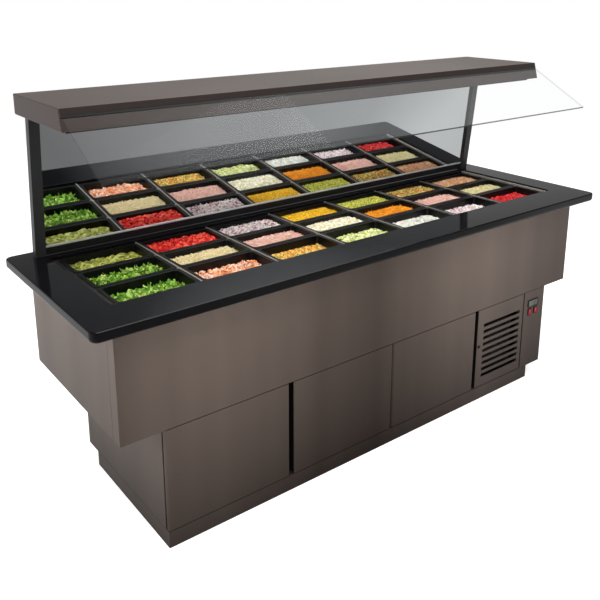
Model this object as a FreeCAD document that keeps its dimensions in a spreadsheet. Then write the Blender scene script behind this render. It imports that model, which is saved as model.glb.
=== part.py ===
import FreeCAD, Part
import os
import re
import Sketcher

# Salad bar: a refrigerated buffet counter with a cold well, mirror and canopy, in millimetres.
# The origin is on the floor under the middle of the counter, and the front faces minus Y.

sizes = {
    "counter_length": 2612,
    "counter_depth": 830,
    "counter_thick": 40,
    "counter_height": 918,
    "counter_corner": 28,
    "front_overhang": 72,
    "back_overhang": 4,
    "end_overhang": 94,
    "casing_height": 413,
    "casing_return": 50,
    "casing_seam": 1.5,
    "skin": 3,
    "base_inset": 158,
    "base_back_inset": 56,
    "plinth_height": 62,
    "plinth_right_inset": 101,
    "plinth_back_inset": 84,
    "plinth_wall": 4,
    "floor_thick": 3,
    "partition_thick": 18,
    "door_thick": 20,
    "door_gap": 2,
    "door_reveal": 3,
    "pull_width": 24,
    "pull_cover": 10,
    "pull_depth": 30,
    "pull_wall": 2,
    "pin_radius": 4,
    "pin_fit": 0.05,
    "pin_depth": 14,
    "pin_rest": 2,
    "louvre_width": 340,
    "louvre_frame": 30,
    "louvre_side": 42,
    "louvre_skin": 2.5,
    "louvre_pitch": 32,
    "louvre_slot": 17,
    "louvre_first": 45,
    "louvre_last": 75,
    "louvre_blade": 1.5,
    "louvre_angle": 40,
    "lock_radius": 8,
    "lock_proud": 2,
    "lock_height": 210,
    "lock_inset": 13,
    "control_width": 154,
    "control_group": 68,
    "display_drop": 67,
    "display_width": 76,
    "display_height": 36,
    "display_proud": 4,
    "display_lip": 3,
    "display_body": 55,
    "display_window": 1.5,
    "rocker_drop": 110,
    "rocker_spacing": 46,
    "rocker_width": 20,
    "rocker_height": 27,
    "rocker_depth": 11,
    "rocker_proud": 5,
    "rocker_clear": 0.8,
    "bezel_border": 3,
    "bezel_proud": 3,
    "bezel_body": 24,
    "cutout_clear": 0.3,
    "condenser_setback": 45,
    "condenser_width": 300,
    "condenser_depth": 60,
    "condenser_top_gap": 120,
    "shroud_depth": 34,
    "shroud_rim": 18,
    "fan_hub": 24,
    "fan_hub_length": 22,
    "fan_clear": 10,
    "fan_chord": 46,
    "fan_blade": 2,
    "fan_angle": 26,
    "shaft_radius": 4,
    "motor_radius": 36,
    "motor_length": 62,
    "bar_height": 22,
    "bar_thick": 4,
    "compressor_radius": 82,
    "compressor_height": 120,
    "compressor_dome": 45,
    "compressor_back_gap": 198,
    "compressor_foot": 8,
    "compressor_plate": 200,
    "well_setback": 100,
    "well_back_margin": 108,
    "well_end_margin": 136,
    "well_end": 22,
    "well_side": 8,
    "tub_wall": 2,
    "tub_ledge": 30,
    "tub_depth": 170,
    "tub_floor": 12,
    "tub_flange": 18,
    "rail_gap": 12,
    "rail_side_gap": 1,
    "rail_end": 24,
    "rail_side": 19,
    "rail_drop": 14,
    "rail_height": 30,
    "divider_foot": 22,
    "divider_height": 12,
    "divider_blade": 4,
    "divider_rise": 5,
    "pan_column_gap": 7,
    "pan_row_gap": 4,
    "pan_rim": 3,
    "pan_lip": 12,
    "pan_corner": 14,
    "pan_wall": 2.5,
    "pan_depth": 100,
    "pan_draft": 4,
    "drain_radius": 16,
    "drain_bore": 12,
    "drain_tail": 90,
    "drain_nut": 26,
    "drain_nut_height": 14,
    "valve_radius": 24,
    "valve_height": 44,
    "valve_drop": 20,
    "stem_radius": 5,
    "stem_length": 14,
    "lever_length": 90,
    "lever_width": 16,
    "lever_thick": 5,
    "post_width": 40,
    "post_depth": 34,
    "post_back_gap": 53,
    "post_inset": 92,
    "post_lean": 56,
    "mirror_lift": 16,
    "mirror_thick": 5,
    "mirror_setback": 12,
    "mirror_back_thick": 3,
    "canopy_inset": 81,
    "canopy_rise": 617,
    "canopy_thick": 72,
    "canopy_front_gap": 331,
    "canopy_front_lean": 20,
    "canopy_back_gap": 38,
    "canopy_wall": 3,
    "fascia_thick": 24,
    "under_thick": 3,
    "glass_inset": 5,
    "glass_width": 348,
    "glass_thick": 8,
    "glass_slope": 29.2,
    "glass_reach": 14,
    "glass_drop": 193,
    "glass_seat": 0.5,
    "light_inset": 75,
    "light_width": 34,
    "light_height": 12,
    "light_setback": 40,
    "overrun": 5,
}

doc = FreeCAD.newDocument("salad_bar")
sheet = doc.addObject("Spreadsheet::Sheet", "Sizes")
for row, (name, amount) in enumerate(sizes.items(), 1):
    sheet.set("A%d" % row, name)
    sheet.set("B%d" % row, str(amount))
    sheet.setAlias("B%d" % row, name)
doc.recompute()

# Places that many pieces share
front = "(front_overhang - counter_depth / 2)"
back = "(counter_depth / 2 - back_overhang)"
under = "(counter_height - counter_thick)"
low = "(counter_height - counter_thick - casing_height)"
end = "(counter_length / 2 - end_overhang)"
baseEnd = "(counter_length / 2 - end_overhang - base_inset)"
baseBack = "(counter_depth / 2 - back_overhang - base_back_inset)"
floorTop = "(plinth_height + floor_thick)"
carcass = "(%s + door_thick + door_gap)" % front
doorLow = "(plinth_height + floor_thick + door_reveal)"
doorTall = "(%s - 2 * door_reveal - %s)" % (low, floorTop)
strips = "louvre_width - control_width - 2 * pull_width - 2 * door_gap"
doorWide = "((2 * %s - %s) / 3)" % (baseEnd, strips)
leftOne = "(0 - %s)" % baseEnd
leftTwo = "(%s + %s + pull_width)" % (leftOne, doorWide)
leftThree = "(%s + %s + door_gap)" % (leftTwo, doorWide)
leftControl = "(%s - control_width)" % baseEnd
leftLouvre = "(%s - control_width - door_gap - louvre_width)" % baseEnd
openLong = "(counter_length - 2 * well_end_margin)"
openDeep = "(counter_depth - front_overhang - well_setback - well_back_margin)"
panPitch = "((%s - 2 * well_end) / 7)" % openLong
rowPitch = "((%s - 2 * well_side) / 3)" % openDeep
panLong = "(%s - pan_column_gap)" % panPitch
panDeep = "(%s - pan_row_gap)" % rowPitch
wellFront = "(%s + well_setback)" % front
wellMid = "(%s + %s / 2)" % (wellFront, openDeep)
railTop = "(counter_height - rail_drop)"
ledge = "(counter_height - rail_drop - rail_height)"
tubLow = "(%s - tub_depth)" % under
canopyTop = "(counter_height + canopy_rise)"
canopyLow = "(%s - canopy_thick)" % canopyTop
underLow = "(%s - under_thick)" % canopyLow
canopyLong = "(counter_length - 2 * canopy_inset)"
glassLong = "(%s - 2 * glass_inset)" % canopyLong
glassLow = "(%s - glass_drop)" % canopyTop
lightLong = "(%s - 2 * light_inset)" % canopyLong
canopyFront = "(canopy_front_gap - counter_depth / 2)"
canopyBack = "(counter_depth / 2 - canopy_back_gap)"


def prefixed(text):
    return re.sub("[a-z_]+", lambda m: "Sizes." + m.group(0) if m.group(0) in sizes else m.group(0), text)


def bind(thing, prop, text):
    thing.setExpression(prop, prefixed(text))


def place(thing, x, y, z):
    bind(thing, "Placement.Base.x", x)
    bind(thing, "Placement.Base.y", y)
    bind(thing, "Placement.Base.z", z)


def box(name, x, y, z, long, deep, tall):
    thing = doc.addObject("Part::Box", name)
    bind(thing, "Length", long)
    bind(thing, "Width", deep)
    bind(thing, "Height", tall)
    place(thing, x, y, z)
    return thing


# A round bar along the given axis from its start
def drum(name, x, y, z, radius, tall, axis=(0, 0, 1)):
    thing = doc.addObject("Part::Cylinder", name)
    turn = FreeCAD.Rotation(FreeCAD.Vector(0, 0, 1), FreeCAD.Vector(*axis))
    thing.Placement = FreeCAD.Placement(FreeCAD.Vector(), turn)
    bind(thing, "Radius", radius)
    bind(thing, "Height", tall)
    place(thing, x, y, z)
    return thing


# A leaning slab: its Y range at the bottom and its Y range at the top
def slab(name, xa, xb, za, zb, ya, yb, yc, yd):
    thing = doc.addObject("Part::Wedge", name)
    thing.Placement = FreeCAD.Placement(FreeCAD.Vector(), FreeCAD.Rotation(FreeCAD.Vector(1, 0, 0), 90))
    ends = {"Xmin": xa, "Xmax": xb, "X2min": xa, "X2max": xb, "Ymin": za, "Ymax": zb}
    ends.update({"Zmin": "0 - " + yb, "Zmax": "0 - " + ya, "Z2min": "0 - " + yd, "Z2max": "0 - " + yc})
    for prop, text in ends.items():
        bind(thing, prop, text)
    return thing


# Turned about its own lower front edge by a named angle
def tilt(thing, angle):
    turn = FreeCAD.Rotation(FreeCAD.Vector(1, 0, 0), sizes[angle])
    thing.Placement = FreeCAD.Placement(thing.Placement.Base, turn)
    bind(thing, "Placement.Rotation.Angle", angle)


def fuse(name, things):
    thing = doc.addObject("Part::MultiFuse", name)
    thing.Shapes = things
    thing.Refine = True
    return thing


def cut(name, base, tool):
    thing = doc.addObject("Part::Cut", name)
    thing.Base = base
    thing.Tool = tool
    thing.Refine = True
    return thing


def common(name, base, tool):
    thing = doc.addObject("Part::Common", name)
    thing.Base = base
    thing.Tool = tool
    return thing


# A rectangle with rounded corners about the sketch's middle
def rounded(body, name, long, deep, radius, guess, lift):
    sketch = body.newObject("Sketcher::SketchObject", name)
    plane = [p for p in body.Origin.OriginFeatures if p.Role == "XY_Plane"][0]
    sketch.AttachmentSupport = (plane, [""])
    sketch.MapMode = "FlatFace"
    bind(sketch, "AttachmentOffset.Base.z", lift)
    a, b, r = guess[0] / 2, guess[1] / 2, guess[2]
    spot = FreeCAD.Vector
    corners = [(a - r, r - b), (a - r, b - r), (r - a, b - r), (r - a, r - b)]
    runs = [
        ((r - a, -b), (a - r, -b)),
        ((a, r - b), (a, b - r)),
        ((a - r, b), (r - a, b)),
        ((-a, b - r), (-a, r - b)),
    ]
    for start, stop in runs:
        sketch.addGeometry(Part.LineSegment(spot(*start, 0), spot(*stop, 0)), False)
    quarter = 1.5707963267948966
    for number, centre in enumerate(corners):
        circle = Part.Circle(spot(*centre, 0), spot(0, 0, 1), r)
        sketch.addGeometry(Part.ArcOfCircle(circle, quarter * (number - 1), quarter * number), False)
    rules = []
    for number in range(4):
        rules.append(Sketcher.Constraint("Tangent", number, 2, number + 4, 1))
        rules.append(Sketcher.Constraint("Tangent", number + 4, 2, (number + 1) % 4, 1))
        rules.append(Sketcher.Constraint("Vertical" if number % 2 else "Horizontal", number))
    for number in range(4, 7):
        rules.append(Sketcher.Constraint("Equal", number, number + 1))
    sketch.addConstraint(rules)
    named = [
        ("radius", Sketcher.Constraint("Radius", 4, r), radius),
        ("right", Sketcher.Constraint("DistanceX", -1, 1, 1, 1, a), long + " / 2"),
        ("left", Sketcher.Constraint("DistanceX", 3, 1, -1, 1, a), long + " / 2"),
        ("rear", Sketcher.Constraint("DistanceY", -1, 1, 2, 1, b), deep + " / 2"),
        ("fore", Sketcher.Constraint("DistanceY", 0, 1, -1, 1, b), deep + " / 2"),
    ]
    for name, rule, text in named:
        spotted = sketch.addConstraint(rule)
        sketch.renameConstraint(spotted, name)
        bind(sketch, "Constraints." + name, text)
    return sketch


def grow(body, kind, name, sketch, length, taper="0", reverse=False):
    step = body.newObject("PartDesign::" + kind, name)
    step.Profile = sketch
    step.Reversed = reverse
    bind(step, "Length", length)
    bind(step, "TaperAngle", taper)
    sketch.Visibility = False
    return step


nodes = {}


def keep(thing, label):
    thing.Label = label
    nodes[label] = thing
    return thing


# Plinth: a frame set back at the right and the rear
plinthLong = "(2 * %s - plinth_right_inset)" % baseEnd
plinthDeep = "(%s - %s - plinth_back_inset)" % (baseBack, front)
outer = box("plinth_outer", leftOne, front, "0", plinthLong, plinthDeep, "plinth_height")
inner = box(
    "plinth_inner",
    leftOne + " + plinth_wall",
    front + " + plinth_wall",
    "0 - overrun",
    plinthLong + " - 2 * plinth_wall",
    plinthDeep + " - 2 * plinth_wall",
    "plinth_height + 2 * overrun",
)
keep(cut("plinth_frame", outer, inner), "plinth")

# Base cabinet
baseDeep = "(%s - %s)" % (baseBack, front)
baseTall = "(%s - %s)" % (low, floorTop)
baseLong = "2 * " + baseEnd
floorPlate = box("floor_plate", leftOne, front, "plinth_height", baseLong, baseDeep, "floor_thick")
keep(floorPlate, "base_floor")
sideDeep = "%s - skin - %s" % (baseBack, carcass)
sides = [
    box("base_left", leftOne, carcass, floorTop, "skin", sideDeep, baseTall),
    box("base_right", baseEnd + " - skin", carcass, floorTop, "skin", sideDeep, baseTall),
]
keep(fuse("base_sides", sides), "base_ends")
rearPlate = box("rear_plate", leftOne, baseBack + " - skin", floorTop, baseLong, "skin", baseTall)
keep(rearPlate, "base_back")

# Finger pulls: shallow channels behind the open edges of the doors
pulls = []
walls = []
for number, left in enumerate([leftTwo, leftLouvre]):
    start = "%s - pull_width - pull_cover" % left
    wide = "pull_width + 2 * pull_cover"
    full = box("pull_full_%d" % number, start, carcass, floorTop, wide, "pull_depth", baseTall)
    hollow = box(
        "pull_hollow_%d" % number,
        start + " + pull_wall",
        carcass + " - overrun",
        floorTop + " + pull_wall",
        wide + " - 2 * pull_wall",
        "pull_depth - pull_wall + overrun",
        baseTall + " - 2 * pull_wall",
    )
    pulls.append(cut("pull_%d" % number, full, hollow))
    middle = "%s - pull_width / 2 - partition_thick / 2" % left
    deep = "%s - skin - %s - pull_depth" % (baseBack, carcass)
    behind = carcass + " + pull_depth"
    walls.append(box("wall_%d" % number, middle, behind, floorTop, "partition_thick", deep, baseTall))
keep(fuse("pull_pair", pulls), "pull_channels")
middle = "%s - door_gap / 2 - partition_thick / 2" % leftThree
walls.append(box("wall_2", middle, carcass, floorTop, "partition_thick", sideDeep, baseTall))
keep(fuse("wall_set", walls), "partitions")


# A door: a flat panel with a round hinge edge and a bore at each end of it
def door(name, left, wide, right):
    axis = "%s + %s - door_thick / 2" % (left, wide) if right else "%s + door_thick / 2" % left
    start = left if right else axis
    mid = front + " + door_thick / 2"
    panel = box(name + "_panel", start, front, doorLow, wide + " - door_thick / 2", "door_thick", doorTall)
    edge = drum(name + "_edge", axis, mid, doorLow, "door_thick / 2", doorTall)
    hole = "pin_radius + pin_fit"
    deep = "pin_depth + pin_rest"
    topStart = "%s + %s - pin_depth - pin_rest" % (doorLow, doorTall)
    bores = [
        drum(name + "_bore_a", axis, mid, doorLow + " - overrun", hole, deep + " + overrun"),
        drum(name + "_bore_b", axis, mid, topStart, hole, deep + " + overrun"),
    ]
    pinLong = "door_reveal + pin_depth"
    pins.append(drum(name + "_pin_a", axis, mid, floorTop, "pin_radius", pinLong))
    pins.append(drum(name + "_pin_b", axis, mid, low + " - door_reveal - pin_depth", "pin_radius", pinLong))
    return cut(name + "_hung", fuse(name + "_whole", [panel, edge]), fuse(name + "_bores", bores))


pins = []
keep(door("door_one", leftOne, doorWide, False), "door_left")
keep(door("door_two", leftTwo, doorWide, True), "door_middle")
keep(door("door_three", leftThree, doorWide, False), "door_right")

# Louvred machine door: a tray with slots and slanted blades behind them
plain = door("louvre", leftLouvre, "louvre_width", True)
slotStart = leftLouvre + " + louvre_side"
slotLong = "(louvre_width - louvre_side - louvre_frame)"
tray = box(
    "louvre_tray",
    slotStart,
    front + " + louvre_skin",
    doorLow + " + louvre_frame",
    slotLong,
    "door_thick - louvre_skin + overrun",
    doorTall + " - 2 * louvre_frame",
)
lockAt = leftLouvre + " + lock_inset"
lockHole = drum(
    "lock_hole",
    lockAt,
    front + " - overrun",
    doorLow + " + lock_height",
    "lock_radius + pin_fit",
    "door_thick + 2 * overrun",
    (0, 1, 0),
)
openings = [tray, lockHole]
blades = []
baseNet = sizes["counter_height"] - sizes["counter_thick"] - sizes["casing_height"] - sizes["plinth_height"]
doorNet = baseNet - sizes["floor_thick"] - 2 * sizes["door_reveal"]
slotNet = doorNet - sizes["louvre_first"] - sizes["louvre_last"] - sizes["louvre_slot"]
slotDeep = "louvre_skin + 2 * overrun"
for number in range(int(slotNet // sizes["louvre_pitch"]) + 1):
    at = "%s + louvre_first + %d * louvre_pitch" % (doorLow, number)
    slot = box("slot_%d" % number, slotStart, front + " - overrun", at, slotLong, slotDeep, "louvre_slot")
    openings.append(slot)
    blade = box(
        "blade_%d" % number,
        slotStart + " - overrun",
        front + " + louvre_skin / 2",
        at + " + louvre_slot - louvre_blade / 2",
        slotLong + " + 2 * overrun",
        "door_thick / 2",
        "louvre_blade",
    )
    tilt(blade, "louvre_angle")
    blades.append(blade)
slotted = cut("louvre_slotted", plain, fuse("louvre_openings", openings))
keep(fuse("louvre_bladed", [slotted] + blades), "louvre_door")
keep(fuse("pin_set", pins), "door_pivots")
barrel = drum(
    "lock_barrel",
    lockAt,
    front + " - lock_proud",
    doorLow + " + lock_height",
    "lock_radius",
    "door_thick + lock_proud",
    (0, 1, 0),
)
key = box(
    "lock_key",
    lockAt + " - lock_radius / 8",
    front + " - lock_proud - overrun",
    doorLow + " + lock_height - lock_radius / 2",
    "lock_radius / 4",
    "lock_proud + overrun",
    "lock_radius",
)
keep(cut("lock_turned", barrel, key), "louvre_lock")

# Control strip with its thermostat and two rocker switches
groupAt = "(%s + control_group)" % leftControl
displayMid = "(%s - display_drop)" % low
rockerMid = "(%s - rocker_drop)" % low
returns = "door_thick + door_gap - skin"
stripParts = [
    box("strip_face", leftControl, front, floorTop, "control_width", "skin", baseTall),
    box("strip_right", baseEnd + " - skin", front + " + skin", floorTop, "skin", returns, baseTall),
    box("strip_left", leftControl, front + " + skin", floorTop, "skin", returns, baseTall),
]
bodyWide = "(display_width - 2 * display_lip)"
bodyTall = "(display_height - 2 * display_lip)"
holes = [
    box(
        "display_hole",
        groupAt + " - " + bodyWide + " / 2 - cutout_clear",
        front + " - overrun",
        displayMid + " - " + bodyTall + " / 2 - cutout_clear",
        bodyWide + " + 2 * cutout_clear",
        "skin + 2 * overrun",
        bodyTall + " + 2 * cutout_clear",
    )
]
bezels = []
rockers = []
shellWide = "(rocker_width + 2 * rocker_clear + 2 * bezel_border)"
shellTall = "(rocker_height + 2 * rocker_clear + 2 * bezel_border)"
for number, side in enumerate(["-", "+"]):
    at = "(%s %s rocker_spacing / 2)" % (groupAt, side)
    holes.append(
        box(
            "rocker_hole_%d" % number,
            at + " - %s / 2 + bezel_border / 2 - cutout_clear" % shellWide,
            front + " - overrun",
            rockerMid + " - %s / 2 + bezel_border / 2 - cutout_clear" % shellTall,
            shellWide + " - bezel_border + 2 * cutout_clear",
            "skin + 2 * overrun",
            shellTall + " - bezel_border + 2 * cutout_clear",
        )
    )
    lip = box(
        "bezel_lip_%d" % number,
        at + " - %s / 2" % shellWide,
        front + " - bezel_proud",
        rockerMid + " - %s / 2" % shellTall,
        shellWide,
        "bezel_proud",
        shellTall,
    )
    shell = box(
        "bezel_shell_%d" % number,
        at + " - %s / 2 + bezel_border / 2" % shellWide,
        front + " - bezel_proud / 2",
        rockerMid + " - %s / 2 + bezel_border / 2" % shellTall,
        shellWide + " - bezel_border",
        "bezel_body",
        shellTall + " - bezel_border",
    )
    hollow = box(
        "bezel_hollow_%d" % number,
        at + " - rocker_width / 2 - rocker_clear",
        front + " - bezel_proud - overrun",
        rockerMid + " - rocker_height / 2 - rocker_clear",
        "rocker_width + 2 * rocker_clear",
        "bezel_body - bezel_border + overrun",
        "rocker_height + 2 * rocker_clear",
    )
    bezels.append(cut("bezel_%d" % number, fuse("bezel_whole_%d" % number, [lip, shell]), hollow))
    rockers.append(
        box(
            "rocker_%d" % number,
            at + " - rocker_width / 2",
            front + " - rocker_proud",
            rockerMid + " - rocker_height / 2",
            "rocker_width",
            "rocker_depth",
            "rocker_height",
        )
    )
keep(cut("strip_cut", fuse("strip_whole", stripParts), fuse("strip_holes", holes)), "control_plate")
keep(fuse("bezel_pair", bezels), "switch_bezels")
keep(rockers[0], "rocker_left")
keep(rockers[1], "rocker_right")
face = box(
    "display_face",
    groupAt + " - display_width / 2",
    front + " - display_proud",
    displayMid + " - display_height / 2",
    "display_width",
    "display_proud",
    "display_height",
)
case = box(
    "display_case",
    groupAt + " - " + bodyWide + " / 2",
    front + " - display_proud / 2",
    displayMid + " - " + bodyTall + " / 2",
    bodyWide,
    "display_body",
    bodyTall,
)
window = box(
    "display_pane",
    groupAt + " - " + bodyWide + " / 2",
    front + " - display_proud - overrun",
    displayMid + " - " + bodyTall + " / 2",
    bodyWide,
    "display_window + overrun",
    bodyTall,
)
keep(cut("display_cut", fuse("display_whole", [face, case]), window), "thermostat")

# Machine bay behind the louvres
bayMid = "(%s + louvre_width / 2)" % leftLouvre
coilFront = "(%s + condenser_setback)" % front
coilLeft = bayMid + " - condenser_width / 2"
coilTall = "(%s - condenser_top_gap)" % baseTall
holeWide = "(min(%s; condenser_width) / 2 - shroud_rim)" % coilTall
fanReach = "(%s - fan_clear)" % holeWide
coil = box("coil_block", coilLeft, coilFront, floorTop, "condenser_width", "condenser_depth", coilTall)
keep(coil, "condenser")
shroudFront = "(%s + condenser_depth)" % coilFront
fanMid = "(%s + %s / 2)" % (floorTop, coilTall)
frame = box("shroud_frame", coilLeft, shroudFront, floorTop, "condenser_width", "shroud_depth", coilTall)
along = (0, 1, 0)
tunnelLong = "shroud_depth + 2 * overrun"
tunnel = drum("shroud_tunnel", bayMid, shroudFront + " - overrun", fanMid, holeWide, tunnelLong, along)
barY = shroudFront + " + shroud_depth"
barLow = fanMid + " - bar_height / 2"
bar = box("shroud_bar", coilLeft, barY, barLow, "condenser_width", "bar_thick", "bar_height")
shaftHole = "shaft_radius + pin_fit"
barHole = drum("bar_hole", bayMid, barY + " - overrun", fanMid, shaftHole, "bar_thick + 2 * overrun", along)
framed = cut("shroud_ring", frame, tunnel)
keep(fuse("shroud_whole", [framed, cut("shroud_bored", bar, barHole)]), "fan_shroud")
motor = drum("motor_can", bayMid, barY + " + bar_thick", fanMid, "motor_radius", "motor_length", along)
hubY = "(%s + shroud_depth / 2 - fan_hub_length / 2)" % shroudFront
shaftLong = "shroud_depth / 2 + fan_hub_length / 2 + bar_thick + overrun"
shaft = drum("motor_shaft", bayMid, hubY, fanMid, "shaft_radius", shaftLong, along)
keep(fuse("motor_whole", [motor, shaft]), "fan_motor")
hub = drum("fan_boss", bayMid, hubY, fanMid, "fan_hub", "fan_hub_length", along)
chordSide = "fan_chord / 2 * sin(fan_angle * 1 deg) - fan_blade / 2 * cos(fan_angle * 1 deg)"
chordDrop = "0 - fan_chord / 2 * cos(fan_angle * 1 deg) - fan_blade / 2 * sin(fan_angle * 1 deg)"
vanes = []
for number in range(5):
    vane = doc.addObject("Part::Box", "vane_%d" % number)
    bind(vane, "Length", fanReach + " - fan_hub / 2")
    bind(vane, "Width", "fan_blade")
    bind(vane, "Height", "fan_chord")
    around = FreeCAD.Rotation(FreeCAD.Vector(0, 1, 0), 72 * number)
    seat = doc.addObject("Part::Compound", "vane_seat_%d" % number)
    place(vane, "fan_hub / 2", chordSide, chordDrop)
    tilt(vane, "fan_angle")
    seat.Links = [vane]
    seat.Placement = FreeCAD.Placement(FreeCAD.Vector(), around)
    place(seat, bayMid, hubY + " + fan_hub_length / 2", fanMid)
    vanes.append(seat)
boreLong = "fan_hub_length + 2 * overrun"
bore = drum("fan_bore", bayMid, hubY + " - overrun", fanMid, shaftHole, boreLong, along)
keep(cut("fan_whole", fuse("fan_blank", [hub] + vanes), bore), "condenser_fan")
pumpY = "(%s - compressor_back_gap)" % baseBack
footTop = "(%s + compressor_foot)" % floorTop
can = drum("pump_can", bayMid, pumpY, footTop, "compressor_radius", "compressor_height")
foot = box(
    "pump_foot",
    bayMid + " - compressor_plate / 2",
    pumpY + " - compressor_plate / 2",
    floorTop,
    "compressor_plate",
    "compressor_plate",
    "compressor_foot",
)
dome = doc.addObject("Part::Ellipsoid", "pump_dome")
bind(dome, "Radius1", "compressor_dome")
bind(dome, "Radius2", "compressor_radius")
bind(dome, "Radius3", "compressor_radius")
place(dome, bayMid, pumpY, footTop + " + compressor_height")
keep(fuse("pump_whole", [can, foot, dome]), "compressor")

# Upper casing: bent front panel, end panels, rear and bottom panels
wholeLong = "2 * " + end
panels = [
    box("front_sheet", "0 - " + end, front, low, wholeLong, "skin", "casing_height"),
    box("front_return_a", "0 - " + end, front, low, "skin", "casing_return", "casing_height"),
    box("front_return_b", end + " - skin", front, low, "skin", "casing_return", "casing_height"),
]
keep(fuse("front_bent", panels), "casing_front")
endStart = front + " + casing_return + casing_seam"
endDeep = "%s - skin - (%s)" % (back, endStart)
ends = [
    box("end_a", "0 - " + end, endStart, low, "skin", endDeep, "casing_height"),
    box("end_b", end + " - skin", endStart, low, "skin", endDeep, "casing_height"),
]
keep(fuse("end_pair", ends), "casing_ends")
rearSheet = box("rear_sheet", "0 - " + end, back + " - skin", low, wholeLong, "skin", "casing_height")
keep(rearSheet, "casing_back")
bottomDeep = "%s - %s - 2 * skin" % (back, front)

# Countertop slab with rounded corners and the well opening
slabBody = doc.addObject("PartDesign::Body", "counter_body")
guess = (sizes["counter_length"], sizes["counter_depth"], sizes["counter_corner"])
outline = rounded(
    slabBody,
    "counter_outline",
    "counter_length",
    "counter_depth",
    "counter_corner",
    guess,
    under,
)
grow(slabBody, "Pad", "counter_pad", outline, "counter_thick")
wellLeft = "0 - %s / 2" % openLong
wellTall = "counter_thick + 2 * overrun"
well = box("well_gap", wellLeft, wellFront, under + " - overrun", openLong, openDeep, wellTall)
keep(cut("counter_cut", slabBody, well), "countertop")

# Foamed tub hung under the slab: a floor and four walls with a ledge for the rails, and a drain hole
tubBlock = box(
    "tub_block",
    wellLeft + " - tub_wall",
    wellFront + " - tub_wall",
    tubLow,
    openLong + " + 2 * tub_wall",
    openDeep + " + 2 * tub_wall",
    "tub_depth",
)
tubLip = box(
    "tub_lip",
    wellLeft + " - tub_flange",
    wellFront + " - tub_flange",
    under + " - tub_wall",
    openLong + " + 2 * tub_flange",
    openDeep + " + 2 * tub_flange",
    "tub_wall",
)
tubMouth = box("tub_mouth", wellLeft, wellFront, ledge, openLong, openDeep, "rail_height + overrun")
hollowLeft = "(%s + tub_ledge)" % wellLeft
hollowFront = "(%s + tub_wall + rail_side / 2)" % wellFront
hollowLow = "(%s + tub_floor)" % tubLow
hollowLong = "(%s - 2 * tub_ledge)" % openLong
hollowDeep = "(%s - 2 * tub_wall - rail_side)" % openDeep
tubHollow = box("tub_hollow", hollowLeft, hollowFront, hollowLow, hollowLong, hollowDeep, "tub_depth")
drainAt = "(%s - %s)" % (leftTwo, panPitch)
holeLong = "tub_floor + 2 * overrun"
tubDrain = drum("tub_drain", drainAt, wellMid, tubLow + " - overrun", "drain_bore", holeLong)
tubSpaces = fuse("tub_spaces", [tubMouth, tubHollow, tubDrain])
tubSolid = cut("tub_cut", fuse("tub_whole", [tubBlock, tubLip]), tubSpaces)
tubFar = "(tub_flange + overrun)"
allLeft = "(%s - %s)" % (wellLeft, tubFar)
allFront = "(%s - %s)" % (wellFront, tubFar)
allLong = "(%s + 2 * %s)" % (openLong, tubFar)
allDeep = "(%s + 2 * %s)" % (openDeep, tubFar)
rearY = "%s + %s" % (hollowFront, hollowDeep)
rightX = "%s + %s" % (hollowLeft, hollowLong)
frontDeep = "%s - %s" % (hollowFront, allFront)
leftLong = "%s - %s" % (hollowLeft, allLeft)
regions = [
    box("floor_region", allLeft, allFront, tubLow, allLong, allDeep, "tub_floor"),
    box("front_region", allLeft, allFront, hollowLow, allLong, frontDeep, "tub_depth"),
    box("rear_region", allLeft, rearY, hollowLow, allLong, frontDeep, "tub_depth"),
    box("left_region", allLeft, hollowFront, hollowLow, leftLong, hollowDeep, "tub_depth"),
    box("right_region", rightX, hollowFront, hollowLow, leftLong, hollowDeep, "tub_depth"),
]
tubWalls = doc.addObject("Part::Compound", "tub_walls")
tubWalls.Links = [common("tub_%s" % region.Name, tubSolid, region) for region in regions]
keep(tubWalls, "tub")

# Drain pipe with a nut under the tub, through the casing bottom to a lever valve
pipeLow = "(%s - drain_tail)" % low
pipeLong = "(%s - %s)" % (tubLow, pipeLow)
pipe = drum("drain_tube", drainAt, wellMid, pipeLow, "drain_radius", pipeLong)
nutLow = tubLow + " - drain_nut_height"
nut = drum("drain_nut_ring", drainAt, wellMid, nutLow, "drain_nut", "drain_nut_height")
valveLow = "(%s - valve_drop - valve_height)" % low
valve = drum("valve_ball", drainAt, wellMid, valveLow, "valve_radius", "valve_height")
hollowTall = pipeLong + " + 2 * overrun"
pipeBore = drum("drain_hollow", drainAt, wellMid, pipeLow + " - overrun", "drain_bore", hollowTall)
bored = cut("drain_bored", fuse("drain_solid", [pipe, nut, valve]), pipeBore)
stemMid = valveLow + " + valve_height / 2"
stemY = wellMid + " - valve_radius - stem_length"
stemLong = "stem_length + valve_radius / 2 - drain_bore / 2"
stem = drum("valve_stem", drainAt, stemY, stemMid, "stem_radius", stemLong, along)
keep(fuse("drain_whole", [bored, stem]), "drain_pipe")
leverBar = box(
    "lever_bar",
    drainAt + " - lever_width / 2",
    stemY + " + lever_thick / 2",
    stemMid + " - lever_width / 2",
    "lever_length",
    "lever_thick",
    "lever_width",
)
leverHole = "stem_radius + pin_fit"
leverDeep = "lever_thick * 2 + 2 * overrun"
leverBore = drum("lever_bore", drainAt, stemY + " - overrun", stemMid, leverHole, leverDeep, along)
keep(cut("lever_cut", leverBar, leverBore), "drain_lever")
bottomLong = wholeLong + " - 2 * skin"
bottomSheet = box("bottom_sheet", "skin - " + end, front + " + skin", low, bottomLong, bottomDeep, "skin")
holeRadius = "drain_radius + cutout_clear"
pipeHole = drum("bottom_hole", drainAt, wellMid, low + " - overrun", holeRadius, "skin + 2 * overrun")
keep(cut("bottom_cut", bottomSheet, pipeHole), "casing_bottom")

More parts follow.
